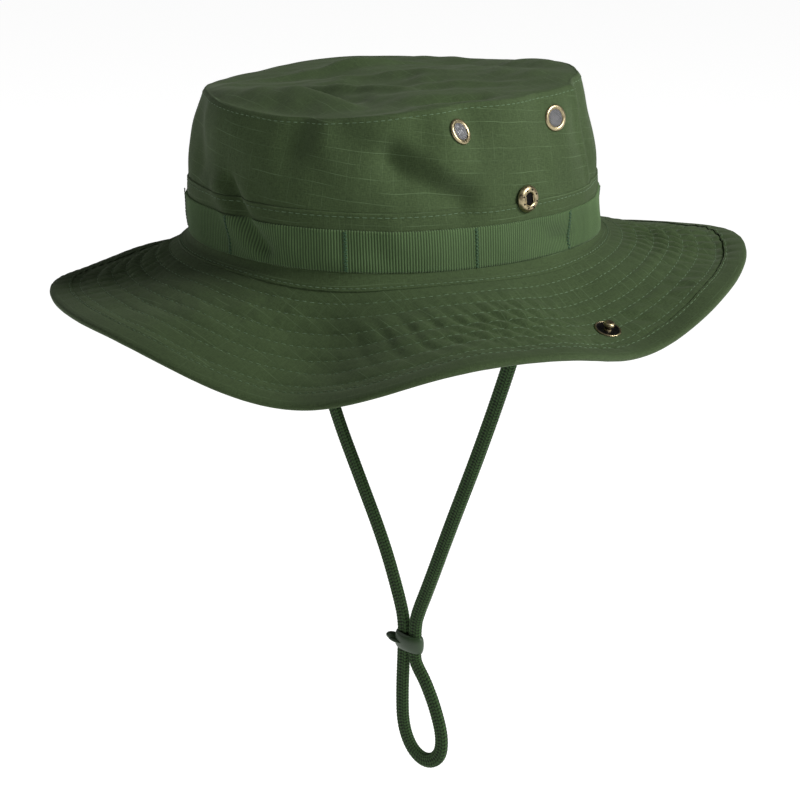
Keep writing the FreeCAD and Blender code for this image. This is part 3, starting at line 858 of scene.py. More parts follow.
def start_material(name: str) -> tuple[bpy.types.Material, Wiring, bpy.types.Node]:
    """Makes a material and gives it, its wiring and its Principled BSDF."""
    material = bpy.data.materials.new(name)
    material.use_nodes = True
    shader = material.node_tree.nodes["Principled BSDF"]
    return material, Wiring(material.node_tree), shader


def grain_of(w: Wiring) -> bpy.types.NodeSocket:
    """The piece's own cloth map, in millimetres on the cut cloth."""
    node = w.tree.nodes.new("ShaderNodeUVMap")
    node.uv_map = "grain"
    return node.outputs["UV"]


def object_place(w: Wiring) -> bpy.types.NodeSocket:
    """Object coordinates, which are metres in the hat's frame."""
    return w.tree.nodes.new("ShaderNodeTexCoord").outputs["Object"]


def add_bump(w: Wiring, shader: bpy.types.Node, height: object, strength: float, distance: float) -> None:
    """Feeds a height to the shader's normal through a Bump node."""
    bump = w.tree.nodes.new("ShaderNodeBump")
    bump.inputs["Strength"].default_value = strength
    bump.inputs["Distance"].default_value = distance
    w.plug(height, bump.inputs["Height"])
    w.tree.links.new(bump.outputs["Normal"], shader.inputs["Normal"])


@dataclass(frozen=True)
class RipstopFinish:
    """Olive green ripstop cotton."""

    name: str = "ripstop_cotton"
    colour: Colour = (0.0440, 0.0710, 0.0262)
    thread: Colour = (0.125, 0.190, 0.095)
    fade: float = 0.62
    sheen: float = 0.10

    def material(self, paint: Paint) -> bpy.types.Material:
        """Builds the material."""
        material, w, shader = start_material(self.name)
        weave = w.group(
            paint.ripstop, Grain=grain_of(w), Colour=opaque(self.colour), Thread_Colour=opaque(self.thread),
            Fade=self.fade,
        )
        add_bump(w, shader, weave.outputs["Height"], 0.35, 0.00016)
        w.set_inputs(
            shader, Base_Color=weave.outputs["Colour"], Roughness=weave.outputs["Roughness"], Sheen_Weight=self.sheen,
            Sheen_Roughness=0.55, Sheen_Tint=(0.75, 0.85, 0.65, 1.0), Specular_IOR_Level=0.22,
        )
        return material


@dataclass(frozen=True)
class FibreFinish:
    """Cloth, tape, thread or felt with visible fibres; where groove is set, shade is painted into its grooves."""

    name: str
    colour: Colour
    fine: float = 1.0
    contrast: float = 0.3
    bump: float = 0.4
    depth: float = 0.00015
    roughness: float = 0.88
    sheen: float = 0.15
    from_object: bool = False
    # groove: colour factor of the painted shade at the bottom of the relief's grooves, proud places painted up to 15%
    # lighter; 0 leaves the colour alone.
    groove: float = 0.0

    def material(self, paint: Paint) -> bpy.types.Material:
        """Builds the material."""
        material, w, shader = start_material(self.name)
        grain = w.scaled(object_place(w), MILLIMETRES) if self.from_object else grain_of(w)
        fibre = w.group(
            paint.fibre, Grain=grain, Colour=opaque(self.colour), Fine=self.fine, Contrast=self.contrast
        )
        colour = fibre.outputs["Colour"]
        # Painted shade: darker in the grooves of the stored relief, lighter on its proud places.
        if self.groove:
            relief = w.tree.nodes.new("ShaderNodeAttribute")
            relief.attribute_name = "relief"
            colour = w.shade(colour, w.ramp(relief.outputs["Fac"], 0.05, 0.85, self.groove, 1.15))
        add_bump(w, shader, fibre.outputs["Height"], self.bump, self.depth)
        w.set_inputs(
            shader, Base_Color=colour, Roughness=self.roughness, Sheen_Weight=self.sheen, Sheen_Roughness=0.5,
            Specular_IOR_Level=0.25,
        )
        return material


@dataclass(frozen=True)
class MetalFinish:
    """Antique metal of a vent or a snap, or the near-black painted shade in a socket's hollows."""

    name: str
    bright: Colour
    dark: Colour
    patina: float = 0.5
    metallic: float = 1.0

    def material(self, paint: Paint) -> bpy.types.Material:
        """Builds the material."""
        material, w, shader = start_material(self.name)
        wear = w.group(
            paint.wear, Place=object_place(w), Bright=opaque(self.bright), Dark=opaque(self.dark), Patina=self.patina
        )
        w.plug(wear.outputs["Colour"], shader.inputs["Base Color"])
        w.plug(wear.outputs["Roughness"], shader.inputs["Roughness"])
        add_bump(w, shader, wear.outputs["Height"], 0.25, 0.00006)
        shader.inputs["Metallic"].default_value = self.metallic
        return material


@dataclass(frozen=True)
class PlasticFinish:
    """Moulded plastic of the cord's slider."""

    name: str = "moulded_plastic"
    colour: Colour = (0.026, 0.052, 0.020)

    def material(self, paint: Paint) -> bpy.types.Material:
        """Builds the material."""
        material, w, shader = start_material(self.name)
        place = w.scaled(object_place(w), MILLIMETRES)
        fibre = w.group(paint.fibre, Grain=place, Colour=opaque(self.colour), Fine=2.5, Contrast=0.18)
        w.plug(fibre.outputs["Colour"], shader.inputs["Base Color"])
        w.plug(w.ramp(fibre.outputs["Height"], 0.7, 1.3, 0.36, 0.52), shader.inputs["Roughness"])
        add_bump(w, shader, fibre.outputs["Height"], 0.25, 0.00008)
        shader.inputs["Specular IOR Level"].default_value = 0.45
        return material


# ---------------------------------------------------------------- cloth sub-assemblies


def round_arcs(count: int) -> Array:
    """Places right round the hat, the last on the first, starting at the back."""
    return np.linspace(-ROUND / 2, ROUND / 2, count + 1)


def declare(piece: bpy.types.Object, body: str, slot: str, *nodes: str) -> bpy.types.Object:
    """Rides a piece on a body and hides the CAD nodes that it replaces.

    Args:
        piece: The finished piece.
        body: CAD body that it rides on.
        slot: Not used.
        nodes: CAD nodes that it replaces.

    Returns:
        The same object.
    """
    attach(piece, body)
    if nodes:
        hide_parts(*nodes)
    LOG.info("made %s: %d faces", piece.name, len(piece.data.polygons))
    return piece


@dataclass
class Crown:
    """The crown: wall, sunken top panel, seam tape, and the stitches of the top seam."""

    cloth: bpy.types.Material
    tape: bpy.types.Material
    thread: bpy.types.Material
    columns: int = 640
    wall_rows: int = 46
    top_rows: int = 60
    seam_groove: float = 0.7
    tape_depth: float = 8.0
    pitch: float = 3.1
    stitch_depth: float = 2.2

    def heights(self, arc: Array, low: float, share: float) -> Array:
        """Height at a share of the way from a low level to the top seam."""
        x, y = SHAPE.outline(turn_at(arc))[:2]
        return low + (SHAPE.seam_height(np.arctan2(y, x)) - low) * share

    def wall_grid(self, lift: float, low: float, shares: Array) -> tuple[Array, Array]:
        """Points and cloth places of the wall at one lift."""
        arc, share = np.meshgrid(round_arcs(self.columns), shares)
        height = self.heights(arc, low, share)
        rounding = self.seam_groove * np.clip((share - 0.975) / 0.025, 0.0, 1.0) ** 2
        points = wall_surface(arc, height, lift - rounding)
        grain = np.stack([arc - 0.09 * height, height + 0.09 * arc], -1)
        return points, grain

    def wall(self) -> bpy.types.Object:
        """The crown wall, one strip sewn into a ring."""
        shares = np.concatenate([np.linspace(0.0, 0.96, self.wall_rows), [0.975, 0.985, 0.993, 1.0]])
        outer, grain = self.wall_grid(0.0, 0.4, shares)
        inner = self.wall_grid(-SHAPE.wall, 0.4, shares)[0]
        piece = finish_mesh(cloth_panel("crown_wall", outer, inner, grain, True), self.cloth)
        declare(piece, "hat", "ripstop", "crown_side")
        return piece

    def top_point(self, arc: Array, scale: Array, lift: float) -> Array:
        """Top panel: scale 1 is its seam and 0 its middle."""
        turn = turn_at(arc)
        x, y = SHAPE.outline(turn)[:2]
        height = SHAPE.seam_height(np.arctan2(y, x))
        edge = wall_surface(arc, height, np.full(np.shape(arc), -self.seam_groove))
        middle_y = SHAPE.top_shift
        px = edge[..., 0] * scale
        py = middle_y + (edge[..., 1] - middle_y) * scale
        inset = (1.0 - scale) * 88.0
        near = 1.0 - np.exp(-inset / 1.6)
        fold = near * np.exp(-3.0 / np.maximum(inset, 0.3)) * CLOTH.top_lift(px, py)
        rise = 0.5 * near + 1.2 * (1.0 - scale ** 2)
        share = (1.0 - scale) ** 1.6
        level = height * (1.0 - share) + (SHAPE.crown_height + 1.0) * share
        return np.stack([px, py, level - 0.35 + rise + fold + lift], -1)

    def top(self) -> bpy.types.Object:
        """The top panel, gathered into soft folds."""
        inner_rows = np.linspace(0.96, 0.0, self.top_rows)
        scales = np.concatenate([[1.0, 0.996, 0.99, 0.982, 0.972], inner_rows])
        arc, scale = np.meshgrid(round_arcs(self.columns // 2), scales)
        outer = self.top_point(arc, scale, 0.0)
        inner = self.top_point(arc, scale, -0.6)
        piece = cloth_panel("crown_tip", outer, inner, outer[..., :2], True)
        merge_doubles(piece)
        finish_mesh(piece, self.cloth, 60.0)
        declare(piece, "hat", "ripstop", "crown_top")
        return piece

    def seam_tape(self) -> bpy.types.Object:
        """Tape over the top seam's raw edges, inside."""
        arc, down = np.meshgrid(round_arcs(self.columns // 2), np.linspace(self.tape_depth, 1.2, 6))
        height = self.heights(arc, 0.0, 1.0) - down
        outer = wall_surface(arc, height, -SHAPE.wall - 0.15)
        inner = wall_surface(arc, height, -SHAPE.wall - 0.65)
        piece = cloth_panel("crown_inner_tape", outer, inner, np.stack([arc, down], -1), True)
        finish_mesh(piece, self.tape)
        return declare(piece, "hat", "seam_tape", "crown_seam_tape")

    def stitches(self) -> bpy.types.Object:
        """The row of stitches just under the top seam."""
        def surface(arc: Array, down: Array) -> Array:
            return wall_surface(arc, self.heights(arc, 0.0, 1.0) - down, np.zeros_like(arc))

        row = row_of_stitches(surface, -ROUND / 2, ROUND / 2, self.stitch_depth, self.pitch)
        row = facing(row, row[0] * HORIZONTAL)
        piece = finish_mesh(stitch_mesh("crown_stitches", *row, THREAD_RADIUS), self.thread)
        return declare(piece, "hat", "thread")

    def build(self) -> None:
        """Makes every piece of the crown."""
        self.wall()
        self.top()
        self.seam_tape()
        self.stitches()


@dataclass
class Bands:
    """The self-fabric band, the webbing with its bartacks, and the sweatband."""

    cloth: bpy.types.Material
    webbing: bpy.types.Material
    sweat: bpy.types.Material
    thread: bpy.types.Material
    tack_thread: bpy.types.Material
    columns: int = 592
    band_top: float = 30.0
    band_flare: float = 6.6
    band_lift: float = 0.05
    band_thick: float = 0.55
    brim_lift: float = 1.2
    webbing_low: float = 3.3
    webbing_high: float = 22.0
    webbing_lift: float = 0.66
    webbing_thick: float = 0.62
    rib: float = 1.25
    rib_height: float = 0.17
    tacks: int = 10
    tack_step: float = 0.82
    tack_lean: float = 0.34
    tack_half: float = 0.95
    tack_radius: float = 0.30
    puff: float = 0.12
    sweat_low: float = 1.0
    sweat_high: float = 33.0

    def band_grid(self, lift: float, thick: float) -> tuple[Array, Array]:
        """Points and cloth places of the self-fabric band at one lift."""
        arcs = round_arcs(self.columns)
        rows, places = [], []
        for height in (self.band_top, 29.5, 28.9, 28.0, 26.5, 24.0, 20.0, 15.0, 10.0, 7.0, 5.0, 3.6):
            roll = -0.25 if height in (self.band_top, 28.0) else 0.0
            rows.append(wall_surface(arcs, np.full_like(arcs, height), lift + (thick + roll if thick else 0.0)))
            places.append(np.stack([arcs, np.full_like(arcs, height)], -1))
        for out in (2.0, 3.0, 4.0, 4.7, 5.2, 5.8, 6.3, self.band_flare):
            roll = -0.25 if out in (5.2, self.band_flare) else 0.0
            rise = self.brim_lift + (thick + roll if thick else 0.0)
            rows.append(brim_surface(arcs, np.full_like(arcs, out), rise))
            places.append(np.stack([arcs, np.full_like(arcs, 1.0 - out)], -1))
        return np.array(rows), np.array(places)

    def band(self) -> bpy.types.Object:
        """The band over the joint of crown and brim."""
        outer, grain = self.band_grid(self.band_lift, self.band_thick)
        inner = self.band_grid(self.band_lift, 0.0)[0]
        piece = finish_mesh(cloth_panel("joint_band", outer, inner, grain, True), self.cloth, 70.0)
        declare(piece, "hat", "ripstop", "hat_band")
        return piece

    def band_stitches(self) -> bpy.types.Object:
        """Stitches along both edges of the self-fabric band."""
        rise = self.band_lift + self.band_thick - 0.1
        top = row_of_stitches(
            lambda arc, height: wall_surface(arc, height, np.full_like(arc, rise)),
            -ROUND / 2, ROUND / 2, self.band_top - 2.0, 3.3,
        )
        low = row_of_stitches(
            lambda arc, out: brim_surface(arc, out, np.full_like(arc, self.brim_lift + self.band_thick - 0.1)),
            -ROUND / 2, ROUND / 2, self.band_flare - 1.4, 3.0,
        )
        top = facing(top, top[0] * HORIZONTAL)
        low = facing(low, UPWARD)
        piece = finish_mesh(stitch_mesh("joint_band_stitches", *join_rows([top, low]), THREAD_RADIUS), self.thread)
        return declare(piece, "hat", "thread")

    def loop_puff(self, arc: Array) -> Array:
        """How far the webbing stands off the band between two bartacks."""
        share = (arc / ROUND * self.tacks) % 1.0
        return self.puff * np.sin(math.pi * share) ** 2

    def webbing_point(self, arc: Array, height: Array, lift: Array) -> Array:
        """Point of the webbing's surface, which hangs straighter than the cloth below it."""
        return wall_surface(arc, height, self.webbing_lift + self.loop_puff(arc) + lift)

    def webbing_band(self) -> bpy.types.Object:
        """Grosgrain webbing with its ribs."""
        ribs = int(round(ROUND / self.rib))
        per_rib = 4
        levels = np.concatenate([[self.webbing_low, self.webbing_low + 0.35],
                                 np.linspace(self.webbing_low + 1.2, self.webbing_high - 1.2, 13),
                                 [self.webbing_high - 0.35, self.webbing_high]])
        arc, height = np.meshgrid(round_arcs(ribs * per_rib), levels[::-1])
        wave = np.cos(2.0 * math.pi * arc / ROUND * ribs)
        middle = (self.webbing_low + self.webbing_high) / 2
        edge = np.abs(height - middle) > middle - self.webbing_low - 0.2
        scallop = np.where(edge, np.sign(height - middle) * 0.16 * wave, 0.0)
        outer = self.webbing_point(arc, height + scallop, self.webbing_thick + self.rib_height * wave - 0.3 * edge)
        inner = self.webbing_point(arc, height + scallop, np.zeros_like(arc))
        piece = cloth_panel("webbing", outer, inner, np.stack([arc, height], -1), True)
        # Relief for the grosgrain material's painted shade between the ribs and lighter rib tops.
        proud = (0.5 + 0.5 * wave)[:, :-1].ravel()
        store_relief(piece, np.concatenate([proud, proud]))
        finish_mesh(piece, self.webbing, 80.0)
        declare(piece, "hat", "webbing", "webbing_band")
        return piece

    def bartacks(self) -> bpy.types.Object:
        """Zigzag bars of thread that divide the webbing into loops."""
        middles, along, up = [], [], []
        for tack in range(self.tacks):
            arc = tack * ROUND / self.tacks
            heights = np.arange(self.webbing_low + 0.7, self.webbing_high - 0.4, self.tack_step)
            for i, height in enumerate(heights):
                lean = self.tack_lean if i % 2 else -self.tack_lean
                ends = np.array([arc - self.tack_half, arc + self.tack_half])
                levels = np.array([height - lean, height + lean])
                a, b = self.webbing_point(ends, levels, np.full(2, self.webbing_thick + 0.2))
                outward = (a + b) / 2 * HORIZONTAL
                middles.append((a + b) / 2)
                along.append(b - a)
                up.append(outward / np.linalg.norm(outward))
        rods = (np.array(middles), np.array(along), np.array(up))
        piece = stitch_mesh("webbing_tacks", *rods, self.tack_radius)
        finish_mesh(piece, self.tack_thread)
        return declare(piece, "hat", "thread", "webbing_bartacks")

    def sweatband(self) -> bpy.types.Object:
        """Twill band inside the head opening."""
        levels = np.concatenate([[self.sweat_high, 32.6, 32.0], np.linspace(30.5, 3.0, 12), [1.8, self.sweat_low]])
        arc, height = np.meshgrid(round_arcs(self.columns // 2), levels)
        roll = np.where((height > 31.9) | (height < 1.5), 0.25, 0.0)
        outer = wall_surface(arc, height, -SHAPE.wall - 0.15)
        inner = wall_surface(arc, height, -SHAPE.wall - 1.15 + roll)
        piece = cloth_panel("sweatband_twill", outer, inner, np.stack([arc, height], -1), True)
        finish_mesh(piece, self.sweat, 60.0)
        declare(piece, "hat", "sweatband", "sweatband")
        return piece

    def build(self) -> None:
        """Makes every band."""
        self.band()
        self.band_stitches()
        self.webbing_band()
        self.bartacks()
        self.sweatband()


@dataclass
class Brim:
    """The brim: two plies over an interlining, quilted in rows and bound at the edge.

    It is made in a left and a right half, one for each side flap.
    """

    cloth: bpy.types.Material
    binding: bpy.types.Material
    felt: bpy.types.Material
    thread: bpy.types.Material
    columns: int = 430
    rows: tuple = CLOTH.rows
    ply_low: float = 0.5
    ply_high: float = 1.0
    quilt: float = 0.32
    quilt_width: float = 1.0
    inner_edge: float = 1.0
    binding_inner: float = 60.6
    binding_stitch: float = 61.9
    binding_lift: float = 1.46
    felt_half: float = 0.3
    row_pitch: float = 3.5
    edge_pitch: float = 3.3
    fold_point: tuple = (97.5, 0.0)
    fold_skew: float = 10.0
    fold_start: float = -3.5
    fold_end: float = 11.0

    def half_arcs(self, side: Side, count: int) -> Array:
        """Places round one half of the hat, from the front to the back."""
        return np.linspace(0.0, side.value * ROUND / 2, count)

    def grain(self, arc: Array, out: Array) -> Array:
        """Place on the flat cut cloth."""
        x, y, nx, ny = SHAPE.outline(turn_at(arc))
        return np.stack([x + nx * out, y + ny * out], -1)

    def quilting(self, out: Array) -> Array:
        """How far the ply stands proud between the rows of stitches, and dips at them."""
        dip = np.zeros(np.shape(out))
        for row in (*self.rows, self.binding_stitch):
            dip = dip + np.exp(-(((out - row) / self.quilt_width) ** 2))
        return 0.12 - self.quilt * dip

    def outs(self) -> Array:
        """Places out along the brim, close together at each row of stitches."""
        near = np.array([-2.6, -1.5, -0.8, 0.0, 0.8, 1.5, 2.6])
        places = [self.inner_edge, 3.0, 5.0, 7.0, 9.0]
        for row in self.rows:
            places += list(row + near)
        return np.array(sorted(places + [61.2, 61.9, 62.6, 64.5, 67.5, 70.0]))

    def ply_surface(self, face: Face, arc: Array, out: Array) -> Array:
        """Outer surface of the upper or the lower ply."""
        lift = face.value * (self.ply_high + self.quilting(out))
        return brim_surface(arc, out, lift)

    def bend(self, piece: bpy.types.Object) -> None:
        """Bakes a piece's transform into its mesh; it is not bent."""
        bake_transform(piece)

    def half(self, name: str, side: Side, outer: Array, inner: Array, grain: Array,
             material: bpy.types.Material, slot: str, *nodes: str) -> bpy.types.Object:
        """Makes one half of a layer, hides the CAD parts it replaces, and bakes its transform."""
        piece = finish_mesh(cloth_panel(f"{name}_{side.word}", outer, inner, grain, False), material, 60.0)
        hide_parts(*nodes)
        self.bend(piece)
        LOG.info("made %s: %d faces", piece.name, len(piece.data.polygons))
        return piece

    def ply(self, side: Side, face: Face) -> bpy.types.Object:
        """One half of the upper or the lower ply."""
        arc, out = np.meshgrid(self.half_arcs(side, self.columns), self.outs())
        outer = self.ply_surface(face, arc, out)
        inner = brim_surface(arc, out, face.value * self.ply_low)
        word = "upper" if face is Face.TOP else "lower"
        nodes = (f"brim_{word}_ply", f"{side.word}_flap_{word}_ply")
        piece = self.half(f"brim_{word}", side, outer, inner, self.grain(arc, out), self.cloth, "ripstop", *nodes)
        return piece

    def felt_layer(self, side: Side) -> bpy.types.Object:
        """One half of the stiff interlining."""
        arc, out = np.meshgrid(self.half_arcs(side, self.columns), np.clip(self.outs(), 1.2, 69.5))
        outer = brim_surface(arc, out, self.felt_half)
        inner = brim_surface(arc, out, -self.felt_half)
        nodes = ("brim_interlining", f"{side.word}_flap_interlining")
        return self.half("brim_felt", side, outer, inner, self.grain(arc, out), self.felt, "interlining", *nodes)

    def edge_binding(self, side: Side) -> bpy.types.Object:
        """One half of the folded tape round the edge."""
        inner = self.binding_inner
        outline = [(inner, 1.22), (inner + 0.25, 1.62), (inner + 0.8, 1.68), (inner + 1.4, 1.42), (inner + 2.1, 1.66),
                   (65.0, 1.78), (68.3, 1.74), (70.2, 1.55), (71.1, 1.0), (71.4, 0.0)]
        outline += [(out, -lift) for out, lift in reversed(outline[:-1])]
        lining = [(min(out, 70.7), math.copysign(1.12, lift) if lift else 0.0) for out, lift in outline]
        arc = self.half_arcs(side, self.columns)
        outer = np.array([brim_surface(arc, np.full_like(arc, o), np.full_like(arc, n)) for o, n in outline])
        liner = np.array([brim_surface(arc, np.full_like(arc, o), np.full_like(arc, n)) for o, n in lining])
        run = np.cumsum([0.0] + [math.dist(a, b) for a, b in zip(outline, outline[1:])])
        grain = np.stack(np.meshgrid(np.abs(arc) * 1.7, run), -1)
        nodes = ("brim_binding", f"{side.word}_flap_binding")
        piece = self.half("edge_tape", side, outer, liner, grain, self.binding, "binding", *nodes)
        return piece

    def stitches(self, side: Side) -> bpy.types.Object:
        """The rows of quilting stitches on both faces of one half."""
        sets = []
        end = side.value * ROUND / 2
        for face in Face:
            for row in self.rows:
                found = row_of_stitches(
                    lambda arc, out: self.ply_surface(face, arc, out), 0.0, end, row, self.row_pitch
                )
                sets.append(facing(found, face.value * UPWARD))
            found = row_of_stitches(
                lambda arc, out: brim_surface(arc, out, np.full_like(arc, face.value * self.binding_lift)),
                0.0, end, self.binding_stitch, self.edge_pitch,
            )
            sets.append(facing(found, face.value * UPWARD))
        piece = stitch_mesh(f"brim_stitches_{side.word}", *join_rows(sets), THREAD_RADIUS)
        finish_mesh(piece, self.thread)
        self.bend(piece)
        LOG.info("made %s: %d faces", piece.name, len(piece.data.polygons))
        return piece

    def build(self) -> None:
        """Makes both halves of the brim."""
        for side in Side:
            self.felt_layer(side)
            for face in Face:
                self.ply(side, face)
            self.edge_binding(side)
            self.stitches(side)


# ---------------------------------------------------------------- turned hardware


def turned_part(name: str, rings: Sequence[tuple[float, float, float]], sides: int, fill: bool) -> bpy.types.Object:
    """Part shaped by extruding one loop of edges from ring to ring.

    Args:
        name: Name of the piece.
        rings: Half widths along x and y and the height of each ring, in millimetres.
        sides: Number of points round the part.
        fill: True to close both ends with a face, False to join the last ring to the first.

    Returns:
        The object, round +Z at the origin.
    """
    deselect()
    first = rings[0]
    bpy.ops.mesh.primitive_circle_add(vertices=sides, radius=MM, fill_type="NOTHING", location=(0.0, 0.0, 0.0))
    piece = bpy.context.object
    piece.name = name
    bpy.ops.object.mode_set(mode="EDIT")
    bpy.ops.mesh.select_all(action="SELECT")
    bpy.ops.transform.resize(value=(first[0], first[1], 1.0), center_override=(0.0, 0.0, 0.0))
    bpy.ops.transform.translate(value=(0.0, 0.0, first[2] * MM))
    if fill:
        bpy.ops.mesh.edge_face_add()
        bpy.ops.mesh.select_all(action="SELECT")
    before = first
    for ring in rings[1:]:
        bpy.ops.mesh.extrude_region_move()
        scale = (ring[0] / before[0], ring[1] / before[1], 1.0)
        bpy.ops.transform.resize(value=scale, center_override=(0.0, 0.0, before[2] * MM))
        bpy.ops.transform.translate(value=(0.0, 0.0, (ring[2] - before[2]) * MM))
        before = ring
    bpy.ops.mesh.select_all(action="SELECT")
    bpy.ops.mesh.remove_doubles(threshold=1e-6)
    bpy.ops.mesh.normals_make_consistent(inside=False)
    bpy.ops.object.mode_set(mode="OBJECT")
    return piece


def join_parts(name: str, pieces: Sequence[bpy.types.Object]) -> bpy.types.Object:
    """Joins several small parts into the first, under one name."""
    deselect()
    for piece in pieces:
        piece.select_set(True)
    bpy.context.view_layer.objects.active = pieces[0]
    bpy.ops.object.join()
    pieces[0].name = name
    return pieces[0]


def round_rings(profile: Sequence[tuple[float, float]]) -> list[tuple[float, float, float]]:
    """Rings of a round part from its (radius, height) profile."""
    return [(radius, radius, height) for radius, height in profile]


def seat(piece: bpy.types.Object, origin: Array, outward: Array, up: Array) -> bpy.types.Object:
    """Moves a part's mesh so that its own +Z points outward from a place.

    Args:
        piece: The part, round +Z at the origin.
        origin: Place in millimetres.
        outward: Direction of the part's own +Z.
        up: Direction near the part's own +Y.

    Returns:
        The same object.
    """
    z = Vector(outward).normalized()
    x = Vector(up).cross(z).normalized()
    y = z.cross(x)
    turn = Matrix((x, y, z)).transposed().to_4x4()
    piece.data.transform(Matrix.Translation(Vector(origin) * MM) @ turn)
    piece.data.update()
    return piece


@dataclass(frozen=True)
class Seat:
    """Where a piece of hardware sits on the cloth."""

    origin: Array
    outward: Array
    up: Array

    @staticmethod
    def on_wall(turn: float, height: float, lift: float) -> "Seat":
        """Seat on the crown wall at an outline parameter and a height."""
        arc = float(arc_at(turn))
        here = wall_surface(np.array(arc), np.array(height), np.array(lift))
        above = wall_surface(np.array(arc), np.array(height + 2.0), np.array(lift))
        beside = wall_surface(np.array(arc + 2.0), np.array(height), np.array(lift))
        return Seat(here, np.cross(beside - here, above - here), above - here)

    @staticmethod
    def on_brim(turn: float, out: float) -> "Seat":
        """Seat on the brim's middle layer."""
        here = SHAPE.brim_base(np.array(turn), np.array(out), np.array(0.0))
        outer = SHAPE.brim_base(np.array(turn), np.array(out + 1.0), np.array(0.0))
        beside = SHAPE.brim_base(np.array(turn + 0.01), np.array(out), np.array(0.0))
        return Seat(here, np.cross(outer - here, beside - here), outer - here)

    def fit(self, piece: bpy.types.Object, material: bpy.types.Material, sharp: float,
            body: str, slot: str, *nodes: str) -> bpy.types.Object:
        seat(piece, self.origin, self.outward, self.up)
        finish_mesh(piece, material, sharp)
        return declare(piece, body, slot, *nodes)


def wall_turn(y: float, height: float, side: Side) -> float:
    """Outline parameter of the wall at a y and a height on one side."""
    share = height / SHAPE.crown_height
    scale = 1.0 + (SHAPE.top_scale - 1.0) * share + SHAPE.wall_bulge * 4.0 * share * (1.0 - share)
    across = (y - SHAPE.top_shift * share) / (scale * SHAPE.half_length)
    turn = math.asin(math.copysign(abs(across) ** (SHAPE.squareness / 2.0), across))
    return turn if side is Side.LEFT else math.pi - turn


HARDWARE_SIDES = 56


@dataclass
class Vents:
    """Four screened eyelets."""

    brass: bpy.types.Material
    wire: bpy.types.Material
    left_height: float = 64.0
    right_height: float = 57.8
    places: tuple = (("front", -36.4), ("back", 21.4))
    wire_count: int = 15
    wire_radius: float = 0.15
    wire_pitch: float = 0.52
    screen_radius: float = 4.0
    profile: tuple = (
        (3.95, -1.9), (3.95, 0.45), (4.05, 0.68), (4.3, 0.82), (4.7, 0.98), (5.1, 1.0), (5.55, 0.86),
        (5.9, 0.58), (6.05, 0.3), (6.0, 0.06), (4.5, 0.06), (4.5, -1.9), (3.95, -1.9),
    )
    collar: tuple = ((4.52, -1.75), (6.0, -1.75), (6.0, -1.25), (4.52, -1.25), (4.52, -1.75))

    def turned(self, name: str, node: str, profile: tuple, where: Seat) -> bpy.types.Object:
        """The rolled brass ring of one vent, or the washer inside the crown that its barrel is rolled over."""
        piece = turned_part(name, round_rings(profile), HARDWARE_SIDES, False)
        return where.fit(piece, self.brass, 55.0, "hat", "brass", node)

    def screen(self, spot: str, where: Seat) -> bpy.types.Object:
        """Woven wire screen: wires that pass over and under each other."""
        half = (self.wire_count - 1) / 2
        runs, sides = 30, 5
        points, quads = [], []
        for direction in range(2):
            for i in range(self.wire_count):
                offset = (i - half) * self.wire_pitch
                reach = math.sqrt(max(0.2, self.screen_radius ** 2 - offset ** 2))
                along = np.linspace(-reach, reach, runs)
                sign = 1.0 if (i + direction) % 2 else -1.0
                weave = sign * self.wire_radius * np.cos(math.pi * (along / self.wire_pitch + half))
                base = len(points) * runs * sides
                ring = np.zeros((runs, sides, 3))
                for k in range(sides):
                    turn = 2.0 * math.pi * k / sides
                    across = offset + self.wire_radius * math.cos(turn)
                    ring[:, k, direction] = along
                    ring[:, k, 1 - direction] = across
                    ring[:, k, 2] = 0.2 + weave + self.wire_radius * math.sin(turn)
                points.append(ring.reshape(-1, 3))
                for r in range(runs - 1):
                    for k in range(sides):
                        a, b = base + r * sides + k, base + r * sides + (k + 1) % sides
                        quads.append((a, a + sides, b + sides, b))
        piece = mesh_from(f"vent_mesh_{spot}", np.concatenate(points), np.array(quads), None)
        return where.fit(piece, self.wire, 50.0, "hat", "screen", f"vent_screen_{spot}")

    def build(self) -> None:
        """Makes every vent."""
        for side in Side:
            for word, y in self.places:
                height = self.left_height if side is Side.LEFT else self.right_height
                where = Seat.on_wall(wall_turn(y, height, side), height, 0.0)
                spot = f"{side.word}_{word}"
                self.turned(f"vent_eyelet_{spot}", f"vent_ring_{spot}", self.profile, where)
                self.screen(spot, where)
                self.turned(f"vent_collar_{spot}", f"vent_washer_{spot}", self.collar, where)


